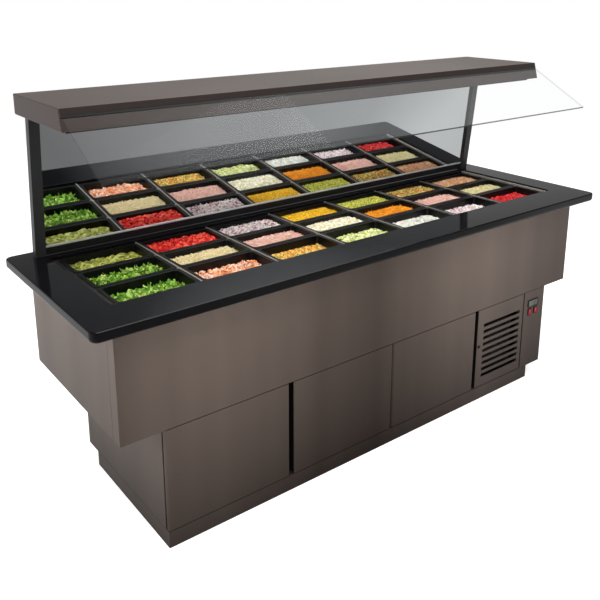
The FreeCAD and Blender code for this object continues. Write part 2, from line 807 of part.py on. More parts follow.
# Rail frame on the tub's ledge, and the bars between the columns of pans
railLong = "(%s - 2 * rail_gap)" % openLong
railDeep = "(%s - 2 * rail_side_gap)" % openDeep
railFront = "(%s + rail_side_gap)" % wellFront
railOuter = box("rail_outer", "0 - %s / 2" % railLong, railFront, ledge, railLong, railDeep, "rail_height")
railInner = box(
    "rail_inner",
    "rail_end - %s / 2" % railLong,
    railFront + " + rail_side",
    ledge + " - overrun",
    railLong + " - 2 * rail_end",
    railDeep + " - 2 * rail_side",
    "rail_height + 2 * overrun",
)
keep(cut("rail_ring", railOuter, railInner), "pan_rails")
bars = []
for number in range(6):
    at = "(%d - 5 / 2) * %s" % (number, panPitch)
    bars.append(
        box(
            "bar_foot_%d" % number,
            at + " - divider_foot / 2",
            railFront + " + rail_side",
            railTop + " - divider_height",
            "divider_foot",
            railDeep + " - 2 * rail_side",
            "divider_height",
        )
    )
    bars.append(
        box(
            "bar_blade_%d" % number,
            at + " - divider_blade / 2",
            railFront,
            railTop,
            "divider_blade",
            railDeep,
            "divider_rise",
        )
    )
keep(fuse("bar_set", bars), "pan_dividers")


# Where each pan's outline starts before its rules take hold
wellLong = sizes["counter_length"] - 2 * sizes["well_end_margin"] - 2 * sizes["well_end"]
wellStart = sizes["front_overhang"] + sizes["well_setback"]
wellDeep = sizes["counter_depth"] - wellStart - sizes["well_back_margin"]
longNet = wellLong / 7 - sizes["pan_column_gap"]
deepNet = (wellDeep - 2 * sizes["well_side"]) / 3 - sizes["pan_row_gap"]


# A food pan: rim, drafted bowl and its hollow
def pan(name, column, row):
    body = doc.addObject("PartDesign::Body", name + "_body")
    bowlLong = "(%s - 2 * pan_lip)" % panLong
    bowlDeep = "(%s - 2 * pan_lip)" % panDeep
    innerLong = "(%s - 2 * pan_wall)" % bowlLong
    innerDeep = "(%s - 2 * pan_wall)" % bowlDeep
    rim = (longNet, deepNet, sizes["pan_corner"])
    lip = 2 * sizes["pan_lip"]
    bowl = (longNet - lip, deepNet - lip, sizes["pan_corner"])
    hollow = (bowl[0] - 2 * sizes["pan_wall"], bowl[1] - 2 * sizes["pan_wall"], sizes["pan_corner"])
    flat = rounded(body, name + "_rim", panLong, panDeep, "pan_corner", rim, "0")
    grow(body, "Pad", name + "_flange", flat, "pan_rim")
    cup = rounded(body, name + "_cup", bowlLong, bowlDeep, "pan_corner", bowl, "0")
    grow(body, "Pad", name + "_bowl", cup, "pan_depth", "0 - pan_draft", True)
    mouth = rounded(body, name + "_mouth", innerLong, innerDeep, "pan_corner", hollow, "pan_rim")
    grow(body, "Pocket", name + "_hollow", mouth, "pan_depth + pan_rim - pan_wall", "0 - pan_draft")
    place(body, "%d * %s" % (column, panPitch), wellMid + " + %d * %s" % (row, rowPitch), railTop)
    return body


for row, side in enumerate(["front", "middle", "back"]):
    for column in range(7):
        keep(pan("%s_%d" % (side, column + 1), column - 3, row - 1), "pan_%s_%d" % (side, column + 1))

# Leaning posts with the mirror and its back panel between them
postBack = "(counter_depth / 2 - post_back_gap)"
postFront = "(counter_depth / 2 - post_back_gap - post_depth)"
postOut = "(counter_length / 2 - post_inset)"
posts = []
for number, left in enumerate(["(0 - %s)" % postOut, "(%s - post_width)" % postOut]):
    posts.append(
        slab(
            "post_%d" % number,
            left,
            left + " + post_width",
            "counter_height",
            underLow,
            postFront,
            postBack,
            "(%s - post_lean)" % postFront,
            "(%s - post_lean)" % postBack,
        )
    )
keep(fuse("post_pair", posts), "posts")
leanLow = "post_lean * mirror_lift / (%s - counter_height)" % underLow


def pane(name, near, far):
    reach = "(%s - post_width)" % postOut
    lowNear = "(%s - %s)" % (near, leanLow)
    lowFar = "(%s - %s)" % (far, leanLow)
    topNear = "(%s - post_lean)" % near
    topFar = "(%s - post_lean)" % far
    foot = "counter_height + mirror_lift"
    return slab(name, "0 - " + reach, reach, foot, underLow, lowNear, lowFar, topNear, topFar)


mirrorNear = "(%s + mirror_setback)" % postFront
mirrorFar = "(%s + mirror_setback + mirror_thick)" % postFront
keep(pane("mirror_pane", mirrorNear, mirrorFar), "mirror")
keep(pane("mirror_plate", mirrorFar, "(%s + mirror_back_thick)" % mirrorFar), "mirror_back")

# Canopy shell, closing plate and light bar
half = "%s / 2" % canopyLong
leanTop = "(%s + canopy_front_lean)" % canopyFront
shell = slab(
    "canopy_shell",
    "0 - " + half,
    half,
    canopyLow,
    canopyTop,
    canopyFront,
    canopyBack,
    leanTop,
    canopyBack,
)
wallTop = "(%s - canopy_wall)" % canopyBack
hollow = slab(
    "canopy_hollow",
    "canopy_wall - " + half,
    half + " - canopy_wall",
    canopyLow + " - overrun",
    canopyTop + " - canopy_wall",
    "(%s + fascia_thick)" % canopyFront,
    wallTop,
    "(%s + fascia_thick)" % leanTop,
    wallTop,
)
glassFront = "(%s - glass_reach)" % front
glassStart = "0 - %s / 2" % glassLong
sheetGlass = box("glass_sheet", glassStart, glassFront, glassLow, glassLong, "glass_width", "glass_thick")
seat = box(
    "glass_groove",
    glassStart + " - glass_seat",
    glassFront + " + glass_seat * sin(glass_slope * 1 deg)",
    glassLow + " - glass_seat * cos(glass_slope * 1 deg)",
    glassLong + " + 2 * glass_seat",
    "glass_width + glass_seat",
    "glass_thick + glass_seat",
)
tilt(sheetGlass, "glass_slope")
tilt(seat, "glass_slope")
keep(sheetGlass, "sneeze_glass")
keep(cut("canopy_grooved", cut("canopy_open", shell, hollow), seat), "canopy")
keep(
    box(
        "canopy_plate",
        "0 - " + half,
        canopyFront,
        underLow,
        canopyLong,
        "%s - %s" % (canopyBack, canopyFront),
        "under_thick",
    ),
    "canopy_under",
)
keep(
    box(
        "light_strip",
        "0 - %s / 2" % lightLong,
        canopyFront + " + light_setback",
        underLow + " - light_height",
        lightLong,
        "light_width",
        "light_height",
    ),
    "light_bar",
)

doc.recompute()

# Each piece is checked and written on its own
os.makedirs("parts", exist_ok=True)
for thing in doc.Objects:
    if "Invalid" in thing.State or "Error" in thing.State:
        raise RuntimeError("%s did not build: %s" % (thing.Name, thing.State))
for label, thing in nodes.items():
    shape = thing.Shape
    if shape.isNull() or not shape.isValid() or not shape.Solids:
        raise RuntimeError("%s has no sound shape" % label)
    shape.exportStep("parts/%s.step" % label)
print(len(nodes), "pieces written")
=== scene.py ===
from math import cos, pi, radians, sin, tan

import bmesh
import bpy
import numpy as np
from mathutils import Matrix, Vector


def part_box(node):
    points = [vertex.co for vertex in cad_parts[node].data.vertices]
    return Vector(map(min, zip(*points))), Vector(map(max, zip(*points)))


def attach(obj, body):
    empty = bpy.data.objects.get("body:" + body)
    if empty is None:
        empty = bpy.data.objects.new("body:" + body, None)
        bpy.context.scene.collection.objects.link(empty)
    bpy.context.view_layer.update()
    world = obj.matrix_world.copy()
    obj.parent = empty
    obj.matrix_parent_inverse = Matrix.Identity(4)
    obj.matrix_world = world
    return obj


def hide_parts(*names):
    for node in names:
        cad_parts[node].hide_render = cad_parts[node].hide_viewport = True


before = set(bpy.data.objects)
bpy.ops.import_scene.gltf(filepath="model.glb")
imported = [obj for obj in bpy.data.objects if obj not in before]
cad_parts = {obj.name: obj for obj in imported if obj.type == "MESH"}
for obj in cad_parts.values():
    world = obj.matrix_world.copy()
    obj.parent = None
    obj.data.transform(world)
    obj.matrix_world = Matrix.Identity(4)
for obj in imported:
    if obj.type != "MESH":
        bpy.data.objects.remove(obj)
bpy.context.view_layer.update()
mm = 0.001  # the scene is in metres
scene = bpy.context.scene
print("frame loaded:", len(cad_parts), "nodes")


# Colours and nodes
def toLinear(hexText):  # sRGB hex to linear rgba
    parts = np.array([int(hexText[k : k + 2], 16) for k in (0, 2, 4)]) / 255
    lin = np.where(parts <= 0.04045, parts / 12.92, ((parts + 0.055) / 1.055) ** 2.4)
    return (*map(float, lin), 1.0)


def plug(tree, node, values):  # each named socket takes another node's output or a plain value
    for socket, value in values.items():
        if hasattr(value, "is_output"):
            tree.links.new(value, node.inputs[socket])
        else:
            node.inputs[socket].default_value = value


def addNode(tree, kind, values, **settings):  # one node with its settings and links; gives its outputs
    node = tree.nodes.new("ShaderNode" + kind)
    for name, setting in settings.items():
        setattr(node, name, setting)
    plug(tree, node, values)
    return node.outputs


finish = {}
noiseLow, noiseHigh = 0.3, 0.7  # most of a noise lies between these
grainStrength = 0.4  # of the bump


def startFinish(name):  # a new material: its tree, its shader and its object coordinates
    material = bpy.data.materials.new(name)
    material.use_nodes = True
    finish[name] = material
    tree = material.node_tree
    return tree, tree.nodes["Principled BSDF"], addNode(tree, "TexCoord", {})["Object"]


# Finishes that one noise gives: its cell in mm, its stretch along x, y and z, two hues, the range of
# roughness, the bump in mm, and what is the same all over. A grain too fine to show in the render, such as
# brushing, a moulded texture or a membrane's tooth, is drawn as coarse as it needs to show.
grained = {
    # Charcoal powder coat baked on steel tube: satin near-black with a fine orange peel
    "charcoalPowderCoat": dict(cell=1.6, hues=("2B2B2D", "353537"), rough=(0.26, 0.36), bump=0.02),
    # Black paint rolled on sheet: dull and a little uneven
    "blackPaintedSheet": dict(cell=2.0, hues=("111012", "1B1A1C"), rough=(0.42, 0.56), bump=0.03),
    # Painted shade: the casing's bronze drawn as it looks in its deepest shade, for a folded trim and a lip
    "shadedBronzePaint": dict(cell=1.6, hues=("2A201D", "342824"), rough=(0.32, 0.42), bump=0.02),
    # Bronze paint on the fascia and end plates: a deep warm brown
    "fasciaBronzePaint": dict(cell=1.6, hues=("3C302C", "483A35"), rough=(0.32, 0.42), bump=0.02),
    # Hot-dip zinc on sheet: a pale grey spangle, half dull
    "zincCoatedSheet": dict(
        cell=9.0, hues=("6F7276", "8E9194"), rough=(0.34, 0.5), bump=0.01, sockets={"Metallic": 0.7}
    ),
    # Stainless bar brushed across the counter: long fine streaks and soft bright edges
    "brushedStainless": dict(
        cell=0.9, stretch=(1, 0.03, 1), hues=("9C968F", "BEB8B0"), rough=(0.26, 0.4), bump=0.004,
        sockets={"Metallic": 0.45},
    ),
    # Stainless rails among black pans, drawn dark grey as steel in shade (painted shade), with a soft sheen
    "shadedStainless": dict(
        cell=2.0, hues=("3C3A38", "4C4A47"), rough=(0.4, 0.52), bump=0.01, sockets={"Metallic": 0.7}
    ),
    # Satin aluminium channel: pale grey with an even sheen
    "satinAluminium": dict(
        cell=1.2, stretch=(0.03, 1, 1), hues=("C2C4C6", "D6D8DA"), rough=(0.3, 0.42), bump=0.004,
        sockets={"Metallic": 0.3},
    ),
    # Blackened steel lock: nearly black with a dull metal sheen
    "blackenedSteel": dict(
        cell=3.0, hues=("0D0D0E", "161617"), rough=(0.34, 0.46), bump=0.01, sockets={"Metallic": 0.6}
    ),
    # Moulded black polycarbonate: smooth gloss, with a slight waviness from the mould
    "mouldedBlackPolycarbonate": dict(
        cell=24, hues=("060607", "0C0C0E"), rough=(0.3, 0.42), bump=0.02, sockets={"Specular IOR Level": 0.3}
    ),
    # Moulded black ABS: fine spark-eroded grain and a dull sheen
    "mouldedBlackAbs": dict(cell=0.7, hues=("131315", "1E1E21"), rough=(0.4, 0.5), bump=0.02),
    # Moulded red polycarbonate over a lamp: saturated and glossy
    "mouldedRedPolycarbonate": dict(
        cell=7, hues=("A80E18", "D21F28"), rough=(0.14, 0.2), bump=0.01, sockets={"Coat Weight": 0.4}
    ),
    # Silvered float glass: a clean, slightly dimmed reflection with faint wiping marks
    "silveredMirrorGlass": dict(
        cell=220, hues=("E6EAEB", "ECEFF0"), rough=(0.012, 0.03), bump=0.0, sockets={"Metallic": 1.0}
    ),
    # Opal acrylic over a lamp: milky, evenly lit from inside
    "opalAcrylic": dict(
        cell=40, hues=("E6E6E0", "F4F4EE"), rough=(0.3, 0.4), bump=0.0,
        sockets={"Emission Color": (1.0, 0.96, 0.9, 1.0), "Emission Strength": 6.0},
    ),
    # Coated aluminium fin stock: thin, grey, dull and dusty, its grey drawn darker so the louvre slots read
    # dark (painted shade)
    "coatedShadedFinStock": dict(
        cell=30, hues=("5A5B5D", "77787A"), rough=(0.4, 0.6), bump=0.01, sockets={"Metallic": 0.6}
    ),
    # Drawn copper tube with a brown bloom
    "drawnCopper": dict(
        cell=18, hues=("B06A45", "7C4630"), rough=(0.28, 0.42), bump=0.01, sockets={"Metallic": 1.0}
    ),
    # Turned brass fittings: warm and half dull
    "turnedBrass": dict(
        cell=12, hues=("B59A55", "8F783E"), rough=(0.25, 0.36), bump=0.01, sockets={"Metallic": 1.0}
    ),
    # Red vinyl dipped on the lever: rubbery, with a soft highlight
    "dippedRedVinyl": dict(cell=5, hues=("9C1C1C", "B42A24"), rough=(0.44, 0.56), bump=0.05),
    # Liquid-crystal window, unlit: grey-green behind a smooth lens
    "unlitDisplay": dict(cell=14, hues=("626B62", "727B70"), rough=(0.12, 0.2), bump=0.0),
    # Printed membrane over keys: brownish grey with a fine matt tooth
    "membraneKeypad": dict(cell=0.8, hues=("6E6661", "7C746E"), rough=(0.5, 0.6), bump=0.02),
}
for finishName, look in grained.items():
    tree, shader, place = startFinish(finishName)
    drawn = addNode(tree, "Mapping", {"Vector": place, "Scale": look.get("stretch", (1, 1, 1))})[0]
    grain = addNode(tree, "TexNoise", {"Vector": drawn, "Scale": 1 / (look["cell"] * mm), "Detail": 3.0})[0]
    first, second = map(toLinear, look["hues"])
    hue = addNode(tree, "Mix", {0: grain, 6: first, 7: second}, data_type="RGBA")[2]
    smooth, dull = look["rough"]
    rough = addNode(tree, "MapRange", {0: grain, 1: noiseLow, 2: noiseHigh, 3: smooth, 4: dull})[0]
    plug(tree, shader, {"Base Color": hue, "Roughness": rough, **look.get("sockets", {})})
    if look["bump"]:
        relief = {"Height": grain, "Strength": grainStrength, "Distance": look["bump"] * mm}
        plug(tree, shader, {"Normal": addNode(tree, "Bump", relief)[0]})

# Bronze powder coat with metal flake, sprayed and baked on sheet steel: a satin warm brown with a fine
# orange peel. Painted into its colour: broad upright bands and a slow wave along its length that stand for
# the sheen's reflections (painted reflection), a slow fade to dark towards the floor (painted shade), and a
# darker tone up on the canopy
bronze = dict(
    hues=("54463E", "AC998E"), low="1C1614", fadeTop=820, fade=0.78, sweep=1320, sweepPeak=510,
    sweepShare=0.44, toneEnds=(900, 1400), toneHigh=0.15, band=230, bandTall=6000, peel=1.6, peelDeep=0.02,
    peelStrength=0.3, rough=(0.27, 0.36), metal=0.3, specular=(0.12, 0.5),
)
tree, shader, place = startFinish("bronzePowderCoat")
# Painted reflection: broad upright bands and a slow wave of lighter and darker along x stand for the sheen's
# soft upright streaks
squeeze = bronze["band"] / bronze["bandTall"]
upright = addNode(tree, "Mapping", {"Vector": place, "Scale": (1, 1, squeeze)})[0]
bands = addNode(tree, "TexNoise", {"Vector": upright, "Scale": 1 / (bronze["band"] * mm), "Detail": 2.0})[0]
peel = addNode(tree, "TexNoise", {"Vector": place, "Scale": 1 / (bronze["peel"] * mm), "Detail": 2.0})[0]
parts = addNode(tree, "SeparateXYZ", {0: place})
pace = 2 * pi / (bronze["sweep"] * mm)
offset = -pace * bronze["sweepPeak"] * mm
phase = addNode(tree, "Math", {0: parts["X"], 1: pace, 2: offset}, operation="MULTIPLY_ADD")[0]
wave = addNode(tree, "Math", {0: phase}, operation="COSINE")[0]
sweep = addNode(tree, "MapRange", {0: wave, 1: -1.0, 2: 1.0})[0]
mixed = addNode(tree, "Mix", {0: bronze["sweepShare"], 2: bands, 3: sweep}, data_type="FLOAT")[0]
ends = [height * mm for height in bronze["toneEnds"]]
above = {0: parts["Z"], 1: ends[0], 2: ends[1], 3: 1.0, 4: bronze["toneHigh"]}
dimming = addNode(tree, "MapRange", above)[0]
tone = addNode(tree, "Math", {0: mixed, 1: dimming}, operation="MULTIPLY")[0]
first, second = map(toLinear, bronze["hues"])
hue = addNode(tree, "Mix", {0: tone, 6: first, 7: second}, data_type="RGBA")[2]
# Painted shade: the colour fades towards the low hue nearer the floor
near = {0: parts["Z"], 1: 0.0, 2: bronze["fadeTop"] * mm, 3: bronze["fade"], 4: 0.0}
low = addNode(tree, "MapRange", near)[0]
worn = addNode(tree, "Mix", {0: low, 6: hue, 7: toLinear(bronze["low"])}, data_type="RGBA")[2]
smooth, dull = bronze["rough"]
rough = addNode(tree, "MapRange", {0: peel, 1: noiseLow, 2: noiseHigh, 3: smooth, 4: dull})[0]
relief = {"Height": peel, "Strength": bronze["peelStrength"], "Distance": bronze["peelDeep"] * mm}
bump = addNode(tree, "Bump", relief)[0]
dusty, clean = bronze["specular"]
dust = addNode(tree, "MapRange", {0: parts["Z"], 1: 0.0, 2: bronze["fadeTop"] * mm, 3: dusty, 4: clean})[0]
plug(tree, shader, {"Base Color": worn, "Roughness": rough, "Normal": bump, "Metallic": bronze["metal"]})
plug(tree, shader, {"Specular IOR Level": dust})

# Polished quartz composite: deep black with sparse grey flecks, wiped to a clear gloss
stone = dict(
    hues=("08080A", "0F0F12"), fleckHue="28282C", fleck=3.2, fleckEnds=(0.10, 0.22), cloud=90, wipe=140,
    rough=(0.05, 0.11), specular=0.4,
)
tree, shader, place = startFinish("polishedBlackComposite")
cells = addNode(tree, "TexVoronoi", {"Vector": place, "Scale": 1 / (stone["fleck"] * mm)})["Distance"]
core, edge = stone["fleckEnds"]
spots = addNode(tree, "MapRange", {0: cells, 1: core, 2: edge, 3: 1.0, 4: 0.0})[0]
cloud = addNode(tree, "TexNoise", {"Vector": place, "Scale": 1 / (stone["cloud"] * mm)})[0]
first, second = map(toLinear, stone["hues"])
ground = addNode(tree, "Mix", {0: cloud, 6: first, 7: second}, data_type="RGBA")[2]
hue = addNode(tree, "Mix", {0: spots, 6: ground, 7: toLinear(stone["fleckHue"])}, data_type="RGBA")[2]
wipe = addNode(tree, "TexNoise", {"Vector": place, "Scale": 1 / (stone["wipe"] * mm), "Detail": 4.0})[0]
smooth, dull = stone["rough"]
rough = addNode(tree, "MapRange", {0: wipe, 1: noiseLow, 2: noiseHigh, 3: smooth, 4: dull})[0]
plug(tree, shader, {"Base Color": hue, "Roughness": rough, "Specular IOR Level": stone["specular"]})

# Toughened clear glass with polished edges: almost unseen flat on, dark grey-green where an edge shows
guard = dict(
    slope=29.2, faceAlpha=(0.012, 0.055), faceEnds=(-1200, -350), edgeAlpha=0.8, sideAlpha=0.2,
    face=("D6DCDC", "E6EAEA"), edge="30363A", rimEnds=(0.5, 0.9), smear=300, rough=(0.03, 0.6),
)
tree, shader, place = startFinish("toughenedClearGlass")
facing = addNode(tree, "TexCoord", {})["Normal"]
lean = radians(guard["slope"])
upward = (0, -sin(lean), cos(lean))  # square to the sheet
across = addNode(tree, "VectorMath", {0: facing, 1: upward}, operation="DOT_PRODUCT")["Value"]
flat = addNode(tree, "Math", {0: across}, operation="ABSOLUTE")[0]
side, front = guard["rimEnds"]
rim = addNode(tree, "MapRange", {0: flat, 1: side, 2: front, 3: 1.0, 4: 0.0})[0]
sideways = addNode(tree, "SeparateXYZ", {0: facing})["X"]
end = addNode(tree, "Math", {0: sideways}, operation="ABSOLUTE")[0]
edgeCover = addNode(tree, "MapRange", {0: end, 3: guard["edgeAlpha"], 4: guard["sideAlpha"]})[0]
smear = addNode(tree, "TexNoise", {"Vector": place, "Scale": 1 / (guard["smear"] * mm)})[0]
first, second = map(toLinear, guard["face"])
pale = addNode(tree, "Mix", {0: smear, 6: first, 7: second}, data_type="RGBA")[2]
hue = addNode(tree, "Mix", {0: rim, 6: pale, 7: toLinear(guard["edge"])}, data_type="RGBA")[2]
alongX = addNode(tree, "SeparateXYZ", {0: place})["X"]
ends = [x * mm for x in guard["faceEnds"]]
thin, full = guard["faceAlpha"]
faceCover = addNode(tree, "MapRange", {0: alongX, 1: ends[0], 2: ends[1], 3: thin, 4: full})[0]
cover = addNode(tree, "MapRange", {0: rim, 3: faceCover, 4: edgeCover})[0]
smooth, ground = guard["rough"]
dull = addNode(tree, "MapRange", {0: rim, 3: smooth, 4: ground})[0]
plug(tree, shader, {"Base Color": hue, "Alpha": cover, "Roughness": dull})

# Food: each grain's own tint, mottled, moist or dry as its roughness says
moist = {
    "freshLeaf": dict(rough=0.38, cell=3.0, mottle=0.3, bump=0.12, soft=0.0),
    "wetSkin": dict(rough=0.18, cell=9.0, mottle=0.2, bump=0.02, soft=0.05),
    "cutFlesh": dict(rough=0.36, cell=2.5, mottle=0.28, bump=0.08, soft=0.1),
    "cookedGrain": dict(rough=0.48, cell=2.0, mottle=0.28, bump=0.1, soft=0.05),
}
juice = dict(mottleEnds=(0.35, 0.65), shade=(0.55, 0.5, 0.45, 1.0), softDepth=2, strength=0.5)
for foodName, look in moist.items():
    tree, shader, place = startFinish(foodName)
    tint = addNode(tree, "Attribute", {}, attribute_name="tint")["Color"]
    grain = addNode(tree, "TexNoise", {"Vector": place, "Scale": 1 / (look["cell"] * mm), "Detail": 3.0})[0]
    pale, dark = juice["mottleEnds"]
    spots = addNode(tree, "MapRange", {0: grain, 1: pale, 2: dark, 3: 0.0, 4: look["mottle"]})[0]
    shade = {0: 1.0, 6: tint, 7: juice["shade"]}
    deep = addNode(tree, "Mix", shade, data_type="RGBA", blend_type="MULTIPLY")[2]
    hue = addNode(tree, "Mix", {0: spots, 6: tint, 7: deep}, data_type="RGBA")[2]
    relief = {"Height": grain, "Strength": juice["strength"], "Distance": look["bump"] * mm}
    bump = addNode(tree, "Bump", relief)[0]
    plug(tree, shader, {"Base Color": hue, "Normal": bump, "Roughness": look["rough"]})
    plug(tree, shader, {"Subsurface Weight": look["soft"], "Subsurface Scale": juice["softDepth"] * mm})
print("finishes made:", len(finish))


# Surfaces from arrays
cornerGap = 0.01  # mm within which outline points are one corner
easeShare = 0.3  # how far in and down the middle of an eased edge lies


# Rings of points joined into a skin, with a fan to a pole at each end, so the body is closed
def skinRings(rings, first=None, last=None):
    count, around = rings.shape[:2]
    first = rings[0].mean(0) if first is None else first
    last = rings[-1].mean(0) if last is None else last
    points = np.concatenate([rings.reshape(-1, 3), [first, last]])
    ring = np.arange(count - 1)[:, None] * around
    step = np.arange(around)[None, :]
    after = (step + 1) % around
    sides = np.stack([ring + step, ring + after, ring + around + after, ring + around + step], -1)
    none = np.full(around, -1)
    a, b = step[0], after[0]
    low = np.stack([b, a, np.full(around, count * around), none], -1)
    top = (count - 1) * around
    high = np.stack([top + a, top + b, np.full(around, count * around + 1), none], -1)
    return points, np.concatenate([sides.reshape(-1, 4), low, high])


# Rings joined into a skin that also closes from the last ring to the first, as a hoop does
def hoopRings(rings):
    count, around = rings.shape[:2]
    index = np.arange(count * around).reshape(count, around)
    nextRing, nextStep = np.roll(index, -1, 0), np.roll(index, -1, 1)
    both = np.roll(nextRing, -1, 1)
    return rings.reshape(-1, 3), np.stack([index, nextStep, both, nextRing], -1).reshape(-1, 4)


# Several bodies as one list of points and one of faces
def joined(bodies):
    starts = np.cumsum([0] + [len(points) for points, faces in bodies[:-1]])
    faces = [np.where(f >= 0, f + start, -1) for (p, f), start in zip(bodies, starts)]
    return np.concatenate([p for p, f in bodies]), np.concatenate(faces)


# A mesh object from points in metres and faces, where a -1 in a face marks a triangle
def makeObject(name, points, faces, material, tints=None, crease=None, weld=False):
    mesh = bpy.data.meshes.new(name)
    used = faces >= 0
    sizes = used.sum(1)
    mesh.vertices.add(len(points))
    mesh.vertices.foreach_set("co", np.asarray(points, np.float32).ravel())
    mesh.loops.add(int(sizes.sum()))
    mesh.loops.foreach_set("vertex_index", faces[used].astype(np.int32))
    mesh.polygons.add(len(faces))
    starts = np.concatenate([[0], np.cumsum(sizes)[:-1]])
    mesh.polygons.foreach_set("loop_start", starts.astype(np.int32))
    mesh.polygons.foreach_set("use_smooth", np.ones(len(faces), bool))
    mesh.update(calc_edges=True)
    mesh.validate()
    if weld:  # outline points that fall on one corner become one
        work = bmesh.new()
        work.from_mesh(mesh)
        bmesh.ops.remove_doubles(work, verts=work.verts, dist=cornerGap * mm)
        work.to_mesh(mesh)
        work.free()
    if crease:
        mesh.set_sharp_from_angle(angle=radians(crease))
    if tints is not None:
        layer = mesh.color_attributes.new("tint", "FLOAT_COLOR", "POINT")
        layer.data.foreach_set("color", np.asarray(tints, np.float32).ravel())
    mesh.materials.append(material)
    obj = bpy.data.objects.new(name, mesh)
    scene.collection.objects.link(obj)
    return obj


def evenShading(obj):  # large faces keep their own direction, so flats look flat beside eased edges
    even = obj.modifiers.new("evenShading", "WEIGHTED_NORMAL")
    even.keep_sharp = True


# A finished piece in millimetres: made in its finish, riding on its body, and hiding the nodes that it stands
# for
def addPiece(name, shape, finishName, instead=(), rides="frame", crease=35, weld=False):
    points, faces = shape
    obj = makeObject(name, points * mm, faces, finish[finishName], crease=crease, weld=weld)
    evenShading(obj)
    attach(obj, rides)
    if instead:
        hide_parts(*instead)
    return obj


# A rounded oblong about its middle, as arc centres and outward directions: the outline at an inset is
# the centre plus the corner radius less the inset along its direction
def oblong(halfLong, halfDeep, corner, steps=5):
    quarter = np.linspace(0, pi / 2, steps)
    angle = np.concatenate([quarter + k * pi / 2 for k in range(4)])
    out = np.stack([np.cos(angle), np.sin(angle)], -1)
    signs = np.repeat([(1, 1), (-1, 1), (-1, -1), (1, -1)], steps, 0)
    return signs * np.array([halfLong - corner, halfDeep - corner]), out


# Oblong outlines stacked up, each with its inset and its height
def stack(halfLong, halfDeep, corner, levels, steps=5):
    centres, out = oblong(halfLong, halfDeep, corner, steps)
    rings = []
    for inset, height in levels:
        flat = centres + out * (corner - inset)
        rings.append(np.concatenate([flat, np.full((len(flat), 1), height)], -1))
    return np.array(rings)


def levelsOf(profile, thick):  # each inset stays, and each height is a share of the thickness
    return [(inset, thick * share) for inset, share in profile]


# Levels of a straight side from its foot up or down to its top, with the edge there rounded or cut off
def easedSide(foot, top, ease, rounded=True):
    ahead = 1 if top > foot else -1
    inset = ease * easeShare
    middle = [(inset, top - ahead * inset)] if rounded else []
    return [(0, foot), (0, top - ahead * ease), *middle, (ease, top)]


# A body mirrored to the other side of x = 0, its faces turned over so that they still look outward
def mirrorX(shape):
    points, faces = shape
    turned = np.where(faces[:, 3:] < 0, faces[:, [1, 0, 2, 3]], faces[:, ::-1])
    return points * np.array([-1, 1, 1]), turned


# Circles stacked up: radius and height of each
def lathe(profile, around=32):
    profile = np.asarray(profile, float)
    lon = np.arange(around) / around * 2 * pi
    circle = np.stack([np.cos(lon), np.sin(lon)], -1)
    flat = profile[:, None, :1] * circle[None]
    return np.concatenate([flat, np.broadcast_to(profile[:, None, 1:], flat.shape[:2] + (1,))], -1)


# A circle carried along a path, square to it; side is any direction that the path never takes
def tubeRings(path, radius, side, around=10):
    path = np.asarray(path, float)
    ahead = np.gradient(path, axis=0)
    ahead /= np.linalg.norm(ahead, axis=1, keepdims=True)
    right = np.cross(ahead, side)
    right /= np.linalg.norm(right, axis=1, keepdims=True)
    over = np.cross(right, ahead)
    lon = (np.arange(around) / around * 2 * pi)[None, :, None]
    return path[:, None] + radius * (np.cos(lon) * right[:, None] - np.sin(lon) * over[:, None])


# Upright shapes laid to face the front: x stays, y becomes z, and height points to minus y
def faceFront(rings, x, y, z):
    return np.stack([rings[..., 0] + x, y - rings[..., 2], rings[..., 1] + z], -1)


# Turning matrices from three angles about x, then y, then z
def turns(x, y, z):
    zero, one = np.zeros_like(x), np.ones_like(x)
    aboutX = np.stack([one, zero, zero, zero, np.cos(x), -np.sin(x), zero, np.sin(x), np.cos(x)], -1)
    aboutY = np.stack([np.cos(y), zero, np.sin(y), zero, one, zero, -np.sin(y), zero, np.cos(y)], -1)
    aboutZ = np.stack([np.cos(z), -np.sin(z), zero, np.sin(z), np.cos(z), zero, zero, zero, one], -1)
    shape = (-1, 3, 3)
    return aboutZ.reshape(shape) @ aboutY.reshape(shape) @ aboutX.reshape(shape)


# Copies of a few templates, each turned, sized, placed and tinted
def scatter(templates, pick, places, turn, sizes, tints):
    allPoints, allFaces, allTints, start = [], [], [], 0
    for number, (points, faces) in enumerate(templates):
        chosen = np.flatnonzero(pick == number)
        if not len(chosen):
            continue
        moved = np.einsum("nij,npj->npi", turn[chosen], points[None] * sizes[chosen][:, None, None])
        moved = moved + places[chosen][:, None, :]
        shift = start + np.arange(len(chosen))[:, None, None] * len(points)
        many = np.where(faces[None] >= 0, faces[None] + shift, -1)
        allPoints.append(moved.reshape(-1, 3))
        allFaces.append(many.reshape(-1, 4))
        allTints.append(np.repeat(tints[chosen], len(points), 0))
        start += moved.shape[0] * moved.shape[1]
    return np.concatenate(allPoints), np.concatenate(allFaces), np.concatenate(allTints)


def nodeBox(name):  # a node's lowest and highest corners in mm
    low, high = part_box(name)
    return np.array(low) / mm, np.array(high) / mm


